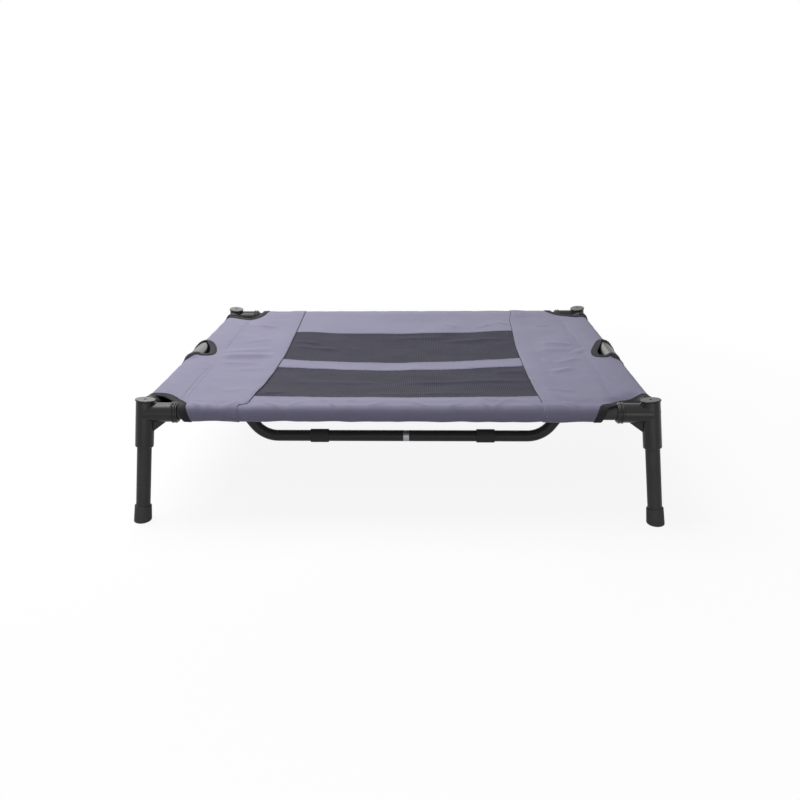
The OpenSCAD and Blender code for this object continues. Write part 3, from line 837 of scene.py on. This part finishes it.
# %% Puckers and creases
# Puckers beside a row of stitching: height, pitch along the row, reach to either side, and seed. The seed of
# a strip's row is the row's place times STRIP_SEEDS.
SLEEVE_PUCKER = (0.00034, 0.0085, 0.009, 1.7)
SEAM_PUCKER = (0.00026, 0.0105, 0.010, 2.9)
END_PUCKER = (0.00022, 0.0090, 0.008, 6.3)
STRIP_PUCKER, STRIP_SEEDS = (0.00022, 0.0115, 0.009), 40
# How far past a sleeve's top or a seam puckers go, and over how far they fade there.
PUCKER_PAST, PUCKER_FADE = 0.02, 0.01
# How far puckers wander along the row, in radians, and over what length.
WANDER, WANDER_SIZE = 2.4, 0.02
# Their usual share of the full height, how far that swells and over what length, and a seed for the swell.
EVEN, SWELL, SWELL_SIZE, SWELL_SEED = 0.6, 0.4, 0.03, 5
# Where the double rows of the side sleeves pull the cloth down, how deep, and over what half width.
ROWS_AT, GROOVE, GROOVE_HALF = 0.307, 0.0006, 0.006
# How steeply creases fade at their ends, and how much all of them are raised.
CREASE_FADE, CREASED = 3.5, 2.2
# Each crease: its two ends on the flat cut, its height and its half width, all in millimetres.
CREASES = [
    (-312, -32, -212, -2, 1.6, 11), (-316, -12, -222, 40, 0.9, 10), (-300, -66, -236, -52, 0.7, 8),
    (-269, -98, -208, -80, 0.5, 7), (-284, 177, -243, 169, 0.8, 6), (-296, 60, -238, 92, 0.5, 8),
    (-262, -216, -214, -202, 0.5, 7), (-244, -262, -239, -306, -0.5, 2.6), (-262, -270, -258, -300, 0.7, 3),
    (238, -32, 247, -63, 0.7, 5), (232, -116, 280, -94, 0.8, 8), (291, -17, 315, 15, 0.6, 6),
    (300, -38, 246, -70, 0.7, 8), (301, 34, 240, 66, 0.7, 9), (284, 176, 246, 170, 0.6, 6),
    (298, 8, 232, 20, 0.6, 8), (211, -236, 281, -250, 0.5, 2.5), (213, -243, 284, -257, 0.5, 2.5),
    (216, -250, 279, -264, 0.45, 2.5), (214, -196, 262, -214, 0.6, 5), (-7, -140, 227, -150, 0.9, 8),
    (-190, -150, -20, -142, 0.6, 9), (-200, 60, -110, 52, 0.8, 7), (-204, 92, -150, 84, 0.7, 5),
    (60, 96, 203, 104, 0.7, 8), (-60, -214, 150, -210, 0.5, 7), (-206, -226, -160, -208, 0.6, 5),
    (206, -100, 150, -92, 0.6, 6), (-30, 118, 90, 121, 0.5, 7), (100, 168, 84, 205, 0.7, 5),
    (140, 172, 168, 196, 0.7, 5), (178, 205, 204, 186, 0.7, 4), (118, -246, 150, -264, 0.7, 4),
    (146, -262, 172, -250, 0.6, 4), (-112, -250, -92, -266, 0.6, 4), (-70, -264, -54, -250, 0.6, 4),
    (-186, -268, -160, -286, 0.9, 3.5), (-150, -284, -128, -264, 0.8, 3), (-96, -266, -84, -288, 0.9, 3),
    (-40, -286, -12, -266, 0.8, 3.5), (20, -264, 44, -286, 0.9, 3.5), (72, -288, 92, -268, 0.7, 3),
    (112, -264, 128, -290, 1.0, 3), (134, -290, 152, -262, 0.9, 3), (186, -270, 200, -290, 0.8, 3),
    (-288, -268, -270, -288, 0.9, 3.5), (-232, -288, -222, -266, 0.8, 3), (232, -266, 252, -288, 0.8, 3.5),
]


def bump_along(s, t, crease):
    """The lift of one crease at a point: a ridge that fades at both ends."""
    s0, t0, s1, t1, height, width = (v / 1000 for v in crease)
    ds, dt = s1 - s0, t1 - t0
    long = ds * ds + dt * dt
    share = ((s - s0) * ds + (t - t0) * dt) / long
    if not 0 < share < 1:
        return 0.0
    off = ((s - s0) * dt - (t - t0) * ds) / math.sqrt(long) / width
    return height * math.exp(-off * off) * smooth(share * CREASE_FADE) * smooth((1 - share) * CREASE_FADE)


def pucker(off, along, height, pitch, reach, seed):
    """Short ripples across a row of stitching, by the distance off it and the place along it."""
    turn = 2 * math.pi * along / pitch + WANDER * uneven(WANDER_SIZE, off, along, seed)
    swell = EVEN + SWELL * uneven(SWELL_SIZE, along, off, seed + SWELL_SEED)
    return height * (math.sin(turn) * math.exp(-((off / reach) ** 2)) * swell)


print(len(CREASES), "creases; puckers of the side sleeves up to", round(SLEEVE_PUCKER[0] * 1000, 2), "mm")

# %% Where the cloth hangs, and where it rises over the tees
# How far each corner cut's edge hangs, how far from the cut that is felt, and how far in a rail holds it up.
HANG = {(-1, -1): 0.001, (1, -1): 0.009, (-1, 1): 0.0, (1, 1): 0.0}
HANG_REACH, HELD = 0.030, 0.019
# Nearer to the middle than this, with the ways across and along added up, no cut's hang is felt.
CORNERS_FROM = 0.48
# How many steps a cut line has between two points where it is only measured from.
HANG_STEPS = 3
# How far the cloth rises over a tee, how far to either side along the rail, and over how far that fades.
TEE_RISE, TEE_HALF, TEE_FADE = 0.0039, 0.0415, 0.016
# How far in from the rail's top the rise starts, and over how far it climbs.
TEE_IN, TEE_CLIMB = 0.014, 0.012

flat_cuts = {corner: curve(points, HANG_STEPS) for corner, points in CUTS.items()}


def droop(s, t):
    """How far the edge of a corner cut hangs down. The rails hold its ends."""
    corner = (1 if s > 0 else -1, 1 if t > 0 else -1)
    s, t = abs(s), abs(t)
    free = smooth((SLEEVE_X - s) / HELD) * smooth((SLEEVE_Y - t) / HELD)
    if free == 0 or s + t < CORNERS_FROM:
        return 0.0
    near = min(math.dist((s, t), point) for point in flat_cuts[corner])
    return HANG[corner] * max(0.0, 1 - near / HANG_REACH) ** 2 * free


def over_tee(s, t):
    """How far the cloth rises where it goes over an end of a tee."""
    beside = smooth((TEE_HALF + TEE_FADE - abs(t)) / TEE_FADE)
    return TEE_RISE * beside * smooth((abs(s) - SLEEVE_X + TEE_IN) / TEE_CLIMB)


hangs = [round(hang * 1000, 1) for hang in HANG.values()]
print("corner cuts hang", hangs, "mm; the cloth rises", round(TEE_RISE * 1000, 1), "mm over a tee")

# %% The whole lift


def lifted(s, t):
    """The lift of the cover over its tight shape. Past a rail's underside it follows the layer above."""
    a, b = abs(s), abs(t)
    past = max(a - SLEEVE_X, b - SLEEVE_Y)
    if past > ROUND:
        above = lay(s, t)[0]
        return -lifted(above.x, above.y) * smooth((past - ROUND) / FLAP)
    lift = slack_lift(s, t)
    if past > -CREST:
        lift += sleeve_lift(s, t)
    if 0 < b - SLEEVE_Y < QUARTER:
        lift += SHOULDER * math.sin(math.pi * (b - SLEEVE_Y) / QUARTER) ** 2
    off = a - ROWS_AT
    groove = GROOVE * math.exp(-((off / GROOVE_HALF) ** 2))
    lift += (pucker(off, t, *SLEEVE_PUCKER) - groove) * smooth((SLEEVE_Y - b) / PUCKER_FADE)
    lift += pucker(a - SEAM, t, *SEAM_PUCKER) * smooth((SLEEVE_Y + PUCKER_PAST - b) / PUCKER_FADE)
    if a < SEAM + PUCKER_PAST:
        for line in (MESH_FRONT, STRIP_FRONT, STRIP_REAR, MESH_REAR):
            lift += pucker(t - line, s, *STRIP_PUCKER, line * STRIP_SEEDS)
    if a > SEAM:
        lift += pucker(t - STITCH_Y, s, *END_PUCKER)
    lift += over_tee(s, t) - droop(s, t)
    return lift + CREASED * sum(bump_along(s, t, crease) for crease in CREASES)


def on_cover(s, t, lift=0.0):
    """A place on the dressed cover: the tight place, moved by its unevenness and by a layer's own lift."""
    return lay(s, t, lift + lifted(s, t))


print("lift at the middle of the front sleeve's crest:", round(lifted(0, -SLEEVE_Y) * 1000, 2), "mm")

# %% [markdown]
# ## The panels
#
# The two side panels lie on top. Their inner edges are turned under in a small roll, which shows as a line
# along each seam. Under them run three strips of the same cloth, also with rolled edges, and under these
# the two pieces of mesh. Each layer reaches some way under the next, as cloth that is sewn has to.

# %% Side panels
# How far a side panel rides up on the strips, how far in from its seam that holds, and over how far it ends.
LAP, LAP_REACH, LAP_FADE = 0.0010, 0.015, 0.022
# An edge's roll: its radius, and how far it turns under, in radians.
ROLL = 0.0010
ROLL_TURN = 1.68
FOLD = ROLL * ROLL_TURN
# Rows of points along a rolled edge, by how far they lie over the edge's line.
FOLD_ROWS = (FOLD * 0.66, FOLD * 0.33, 0, -0.0016)
END = SLEEVE_Y + EDGE
# How far each seam strays outwards from its line, at places from front to rear, in metres.
SEAM_STRAY = {
    -1: [(-0.285, 0.012), (-0.274, 0.0), (-0.1, -0.003), (0.0, -0.004), (0.16, -0.001), (0.28, 0.0)],
    1: [(-0.3, -0.003), (-0.1, -0.005), (0.02, -0.005), (0.2, 0.0), (0.28, 0.008)],
}


def seam_at(t, side):
    """The seam's place across the cot. The left one slants outwards where it goes down the front sleeve."""
    points = SEAM_STRAY[1 if side > 0 else -1]
    if t <= points[0][0]:
        return SEAM + points[0][1]
    for (t0, off0), (t1, off1) in zip(points, points[1:]):
        if t <= t1:
            return SEAM + off0 + (off1 - off0) * smooth((t - t0) / (t1 - t0))
    return SEAM + points[-1][1]


def side_lift(s, t):
    """A side panel rides up over the strips that it laps."""
    inner = abs(s) - seam_at(t, s)
    return LAP * (1 - smooth((inner - LAP_REACH) / LAP_FADE))


def rolled(over):
    """How far in and down an edge has gone after some of it has turned over the edge's line."""
    turn = max(0.0, over) / ROLL
    return ROLL * math.sin(turn), ROLL * (1 - math.cos(turn))


def on_side(s, t):
    """A place on a side panel, whose inner edge rolls under at the seam."""
    side = math.copysign(1, s)
    line = seam_at(t, side)
    inward, down = rolled(line - abs(s))
    return on_cover(side * (max(abs(s), line) - inward), t, side_lift(s, t) - down)[0]


def edge(start, end):
    """Evenly spaced points of a straight edge, without its ends."""
    count = max(2, round(math.dist(start, end) / STEP))
    return [(a, b) for a, b in zip(steps(start[0], end[0], count), steps(start[1], end[1], count))][1:-1]


def side_outline(side):
    """A side panel's outline on the flat: its seam, corner cuts and notch."""
    front = [(s, -t) for s, t in corner_line(side, -1, EDGE)]
    rear, notch = corner_line(side, 1, EDGE)[::-1], notch_line(side, EDGE)[::-1]
    seam = [(seam_at(t, side) - FOLD, t) for t in steps(END, -END, round(2 * END / STEP))]
    line = seam + edge(seam[-1], front[0]) + front + edge(front[-1], notch[0]) + notch
    line += edge(notch[-1], rear[0]) + rear + edge(rear[-1], seam[0])
    return line if side > 0 else [(-s, t) for s, t in reversed(line)]


def seam_rows(side):
    """Rows of points that let a seam's roll bend evenly."""
    rows = []
    for off in FOLD_ROWS:
        rows += [(side * (seam_at(t, side) - off), t) for t in steps(-END, END, round(2 * END / STEP))]
    return rows


cut = {}
for side, hand in HANDS.items():
    cut[hand] = cut_cloth(
        "side_panel_" + hand, side_outline(side), on_side, cloth, rows=seam_rows(side)
    )

# %% Strips and mesh
# How far the strips and the mesh reach to either side, under the side panels.
UNDER = SEAM + 0.018
# The mesh's reach under the strips, how far it and the strips lie below the cover's face, and its thickness.
MESH_LAP, MESH_DOWN, STRIP_DOWN, MESH_THICK = 0.006, 0.00095, 0.00005, 0.0007
OUTER = END - HEM


def oblong(low, high):
    """An outline as wide as the strips, from low to high along the cot."""
    ring = [(-UNDER, low), (UNDER, low), (UNDER, high), (-UNDER, high)]
    return [p for a, b in zip(ring, ring[1:] + ring[:1]) for p in [a] + edge(a, b)]


def strip(name, low, high, roll_low, roll_high):
    """A strip of cloth across the cot, with its edges over the mesh rolled under."""
    start, end = low - FOLD * roll_low, high + FOLD * roll_high

    def place(s, t):
        in_low, down_low = rolled((low - t) * roll_low)
        in_high, down_high = rolled((t - high) * roll_high)
        at = max(t, low) if roll_low else t
        at = min(at, high) if roll_high else at
        return on_cover(s, at - in_low + in_high, -STRIP_DOWN - down_low - down_high)[0]

    rows = []
    for line, way, on in ((low, -1, roll_low), (high, 1, roll_high)):
        for off in FOLD_ROWS:
            rows += [(s, line + way * off) for s in steps(-UNDER, UNDER, round(2 * UNDER / STEP)) if on]
    return cut_cloth(name, oblong(start, end), place, cloth, rows=rows)


def mesh_panel(name, low, high):
    """A piece of mesh across the cot, a little below the strips."""

    def place(s, t):
        return on_cover(s, t, -MESH_DOWN)[0]

    outline = oblong(low - MESH_LAP, high + MESH_LAP)
    return cut_cloth(name, outline, place, open_mesh, thick=MESH_THICK)


cut["front"] = strip("front_strip", -OUTER, MESH_FRONT, 0, 1)
cut["centre"] = strip("centre_strip", STRIP_FRONT, STRIP_REAR, 1, 1)
cut["rear"] = strip("rear_strip", MESH_REAR, OUTER, 1, 0)
cut["mesh_front"] = mesh_panel("mesh_panel_front", MESH_FRONT, STRIP_FRONT)
cut["mesh_rear"] = mesh_panel("mesh_panel_rear", STRIP_REAR, MESH_REAR)

# %% [markdown]
# ## Tape over the cut edges
#
# Raw cuts fray, so a woven tape is folded over each of them and sewn down. Its section is a flat hairpin
# with the cloth's edge inside. A curve with a bevel could draw it, but the hairpin has to lean with the
# cloth, so the section is laid point by point: so far in from the cut, so far off the cloth.

# %% Binding tapes
# The tape's section in millimetres: the way in from the cut, and the lift off the cloth's upper face.
TAPE_SECTION = [
    (10.7, 0.1), (10.4, 0.7), (6.5, 0.9), (2.5, 1.0), (0.5, 0.9), (-0.6, 0.3),
    (-0.8, -0.4), (-0.6, -1.2), (0.5, -1.8), (6.5, -1.9), (10.4, -1.9), (10.7, -1.2),
]
# How far apart the section's points count on the tape's flat map.
TAPE_STEP = 0.0016


def mirrored(line, side, end):
    """A line of the rear right quarter moved to another quarter, always with the cloth on its right."""
    moved = [(side * s, end * t) for s, t in line]
    return moved if side * end > 0 else moved[::-1]


def inward_at(line, i):
    """The way into the cloth at a point of a cut line, on the flat."""
    (s0, t0), (s1, t1) = line[max(0, i - 1)], line[min(len(line) - 1, i + 1)]
    long = math.hypot(s1 - s0, t1 - t0)
    return (t1 - t0) / long, -(s1 - s0) / long


def sew_tape(name, line, node):
    """Lays the tape's section along a cut line and closes its ends."""
    bm = bmesh.new()
    cut_map = bm.loops.layers.uv.new("cut")
    rings, runs, run = [], [], 0.0
    for i, (s, t) in enumerate(line):
        a, b = inward_at(line, i)
        ring = []
        for inward, lift in TAPE_SECTION:
            at = (s + a * inward / 1000, t + b * inward / 1000)
            ring.append(bm.verts.new(on_cover(*at, lift / 1000)[0]))
        run += math.dist(line[i - 1], line[i]) if i else 0.0
        rings.append(ring)
        runs.append(run)
    count = len(TAPE_SECTION)
    for i in range(len(rings) - 1):
        for j in range(count):
            k = (j + 1) % count
            face = bm.faces.new([rings[i][j], rings[i + 1][j], rings[i + 1][k], rings[i][k]])
            face.smooth = True
            for loop, (m, n) in zip(face.loops, ((i, j), (i + 1, j), (i + 1, j + 1), (i, j + 1))):
                loop[cut_map].uv = (runs[m], n * TAPE_STEP)
    bm.faces.new(rings[0])
    bm.faces.new(rings[-1][::-1])
    bmesh.ops.recalc_face_normals(bm, faces=bm.faces[:])
    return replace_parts(add_piece(name, bm, black_tape), node)


cut_lines = {
    ("rear_" if end > 0 else "front_") + HANDS[side]: mirrored(corner_line(side, end, TAPED), side, end)
    for side, end in CUTS
}
cut_lines |= {"notch_" + hand: mirrored(notch_line(side, TAPED), side, 1) for side, hand in HANDS.items()}
tapes = {place: sew_tape("tape_" + place, line, "binding_" + place) for place, line in cut_lines.items()}
print("tapes:", ", ".join(tapes))

# %% [markdown]
# ## Thread
#
# Stitching is what makes a cover look sewn. Each stitch is a short grain of thread that dips into the cloth
# at both ends. A dashed texture would be lighter, but it has no shadow and goes flat at the edges of the
# cot. The rows follow the real ones: two along each side sleeve, broken at the notches, rows beside the
# seams and strip edges, and one along every tape. A thin black thread beside each seam's roll is painted
# shade: it stands for the shadow line in the corner there.

# %% A stitch, and pieces made of many
# How far apart stitches are, their length, and the thread's radius.
STITCH_PITCH, STITCH_LONG, STITCH_R = 0.0040, 0.0030, 0.00036
# A stitch's rings: place along it, thickness and height, as shares of its half length and radius.
STITCH_RINGS = [(-1.0, 0.45, -0.7), (-0.6, 0.95, 0.35), (0.6, 0.95, 0.35), (1.0, 0.45, -0.7)]
STITCH_SIDES = 5


def spread_turns(count):
    """Angles spread evenly round a circle."""
    return [2 * math.pi * i / count for i in range(count)]


def along_row(line, pitch):
    """Points at an even pitch along a line on the flat, each with the line's direction there."""
    found, left = [], pitch / 2
    for (s0, t0), (s1, t1) in zip(line, line[1:]):
        long = math.dist((s0, t0), (s1, t1))
        while left < long:
            share = left / long
            way = ((s1 - s0) / long, (t1 - t0) / long)
            found.append((s0 + (s1 - s0) * share, t0 + (t1 - t0) * share, *way))
            left += pitch
        left -= long
    return found


def stitch_rows(name, rows, finish, lift_of):
    """One piece made of the stitches of many rows. lift_of(s, t) is the layer's own lift."""
    bm = bmesh.new()
    cut_map = bm.loops.layers.uv.new("cut")
    count = 0
    half = STITCH_LONG / 2
    turns = spread_turns(STITCH_SIDES)
    for line in rows:
        for s, t, ds, dt in along_row(line, STITCH_PITCH):
            count += 1
            lift = lift_of(s, t)
            middle, up = on_cover(s, t, lift)
            tip, tail = (on_cover(s + ds * off, t + dt * off, lift)[0] for off in (half, -half))
            ahead = (tip - tail).normalized()
            across = ahead.cross(up).normalized()
            rings = []
            for share, thick, high in STITCH_RINGS:
                centre = middle + ahead * share * half + up * high * STITCH_R
                ways = [across * math.cos(a) + up * math.sin(a) for a in turns]
                rings.append([bm.verts.new(centre + way * thick * STITCH_R) for way in ways])
            for first, second in zip(rings, rings[1:]):
                for i in range(STITCH_SIDES):
                    j = (i + 1) % STITCH_SIDES
                    face = bm.faces.new([first[i], first[j], second[j], second[i]])
                    face.smooth = True
                    for loop in face.loops:
                        off = loop.vert.co - middle
                        loop[cut_map].uv = (off.dot(ahead), off.dot(across))
            bm.faces.new(rings[0][::-1])
            bm.faces.new(rings[-1])
    bmesh.ops.recalc_face_normals(bm, faces=bm.faces[:])
    print(name, count, "stitches")
    return add_piece(name, bm, finish)


print("a stitch is", round(STITCH_LONG * 1000, 1), "mm long; pitch", round(STITCH_PITCH * 1000, 1), "mm")

# %% Rows of stitches
# Where the double rows of the side sleeves run, from front to rear, and how far in their front ends slant.
SLEEVE_ROWS = {-1: [(-0.246, -0.086), (0.016, 0.188)], 1: [(-0.246, -0.070), (0.021, 0.192)]}
SLEEVE_SLANT = 0.003
# How far apart the two rows of a sleeve are.
ROW_GAP = 0.0075
# Where the rows of the rear sleeve start, past the seam, and end.
END_ROW_IN, END_ROW_OUT = 0.012, 0.276
# How far a row lies from the edge that it sews, and from where to where the rows of the seams run.
SEW_IN = 0.0034
SEAM_ROW, SEAM_ROW_STEPS = (-0.300, 0.292), 150
# How far in from the cut a tape is sewn, and how high its face lies there.
TAPE_SEW, TAPE_FACE = 0.0082, 0.0009


def fine_line(*corners):
    """A line on the flat through some points, in short steps, so that it bends with the cloth."""
    return [p for a, b in zip(corners, corners[1:]) for p in [a] + edge(a, b)] + [corners[-1]]


def side_rows(side):
    """The rows of one side panel: its side sleeve's, rear sleeve's and seam's."""
    rows = []
    for front, rear in SLEEVE_ROWS[side]:
        for s in (STITCH_X, STITCH_X - ROW_GAP):
            rows.append(fine_line((side * (s - SLEEVE_SLANT), front), (side * s, rear)))
        tack = side * (STITCH_X - ROW_GAP)
        rows += [fine_line((tack, end), (side * STITCH_X, end)) for end in (front, rear)]
    start, stop = side * (SEAM + END_ROW_IN), side * END_ROW_OUT
    rows += [fine_line((start, t), (stop, t)) for t in (STITCH_Y, STITCH_Y - ROW_GAP)]
    rows.append([(side * (seam_at(t, side) + SEW_IN), t) for t in steps(*SEAM_ROW, SEAM_ROW_STEPS)])
    return rows


def strip_rows():
    """A row beside each rolled edge of the strips."""
    rows = []
    for line, way in ((MESH_FRONT, -1), (STRIP_FRONT, 1), (STRIP_REAR, -1), (MESH_REAR, 1)):
        rows.append(fine_line((-SEAM, line + way * SEW_IN), (SEAM, line + way * SEW_IN)))
    return rows


def tape_row(line):
    """A row near the inner edge of a tape."""
    ways = [inward_at(line, i) for i in range(len(line))]
    return [(s + a * TAPE_SEW, t + b * TAPE_SEW) for (s, t), (a, b) in zip(line, ways)]


stitches = {
    hand: stitch_rows("stitches_" + hand, side_rows(side), grey_thread, side_lift)
    for side, hand in HANDS.items()
}
stitches["strips"] = stitch_rows(
    "stitches_strips", strip_rows(), grey_thread, lambda s, t: -STRIP_DOWN
)
tape_rows = [tape_row(line) for line in cut_lines.values()]
stitches["tapes"] = stitch_rows(
    "stitches_tapes", tape_rows, black_thread, lambda s, t: TAPE_FACE
)

# %% Painted seam shade along the seams
# The painted shade thread's radius, how many sides it has, and in how many steps it runs.
SEAM_SHADE_R, SEAM_SHADE_SIDES, SEAM_SHADE_STEPS = 0.0006, 6, 190
# From where to where it runs, on the tops of the two end sleeves.
SEAM_SHADE_FRONT, SEAM_SHADE_REAR = -0.268, 0.284
# How far off the roll and how high the thread lies, in radii, and how far it sinks over the mesh, as a share.
SEAM_SHADE_OFF, SEAM_SHADE_UP, SEAM_SHADE_SINK = 0.5, 0.4, 0.5
# How far apart its sides count on its flat map.
SEAM_SHADE_MAP = 0.0007
MESH_SPANS = ((MESH_FRONT, STRIP_FRONT), (STRIP_REAR, MESH_REAR))


def seam_shade_thread(name, side):
    """A thin dark thread of painted shade in the corner beside a seam's roll, from one sleeve's top to the
    other's.
    """
    bm = bmesh.new()
    cut_map = bm.loops.layers.uv.new("cut")
    line = steps(SEAM_SHADE_FRONT, SEAM_SHADE_REAR, SEAM_SHADE_STEPS)
    out = Vector((side, 0, 0))
    turns = spread_turns(SEAM_SHADE_SIDES)
    rings = []
    for t in line:
        s = side * (seam_at(t, side) - ROLL - SEAM_SHADE_R * SEAM_SHADE_OFF)
        sunk = MESH_DOWN if any(low < t < high for low, high in MESH_SPANS) else 0
        middle, up = on_cover(s, t, SEAM_SHADE_R * SEAM_SHADE_UP - sunk * SEAM_SHADE_SINK)
        ways = [out * math.cos(a) + up * math.sin(a) for a in turns]
        rings.append([bm.verts.new(middle + way * SEAM_SHADE_R) for way in ways])
    for k, (first, second) in enumerate(zip(rings, rings[1:])):
        for i in range(SEAM_SHADE_SIDES):
            j = (i + 1) % SEAM_SHADE_SIDES
            face = bm.faces.new([first[i], first[j], second[j], second[i]])
            face.smooth = True
            for loop, (m, n) in zip(face.loops, ((k, i), (k, i + 1), (k + 1, i + 1), (k + 1, i))):
                loop[cut_map].uv = (line[m], n * SEAM_SHADE_MAP)
    bm.faces.new(rings[0])
    bm.faces.new(rings[-1])
    bmesh.ops.recalc_face_normals(bm, faces=bm.faces[:])
    return add_piece(name, bm, black_thread)


seam_shades = {hand: seam_shade_thread("seam_" + hand, side) for side, hand in HANDS.items()}
print("painted seam shade threads:", ", ".join(thread.name for thread in seam_shades.values()))

# %% [markdown]
# ## What stands for what
#
# Each sewn piece now takes the place of its plain solid. The pieces sewn on each sheet are gathered in a
# table, and each sheet's cut size and area are at hand; nothing here stores them on the sheets.

# %% Sheets
BOUND = ("front", "rear", "notch")
sewn_on = {
    hand: [*(tapes[f"{place}_{hand}"] for place in BOUND), stitches[hand], seam_shades[hand]]
    for hand in HANDS.values()
}
sewn_on["centre"] = [stitches["strips"], stitches["tapes"]]
for place, (panel, size, area) in cut.items():
    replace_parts(panel, place if place.startswith("mesh") else "cover_" + place)
print(len(cut), "sheets declared")
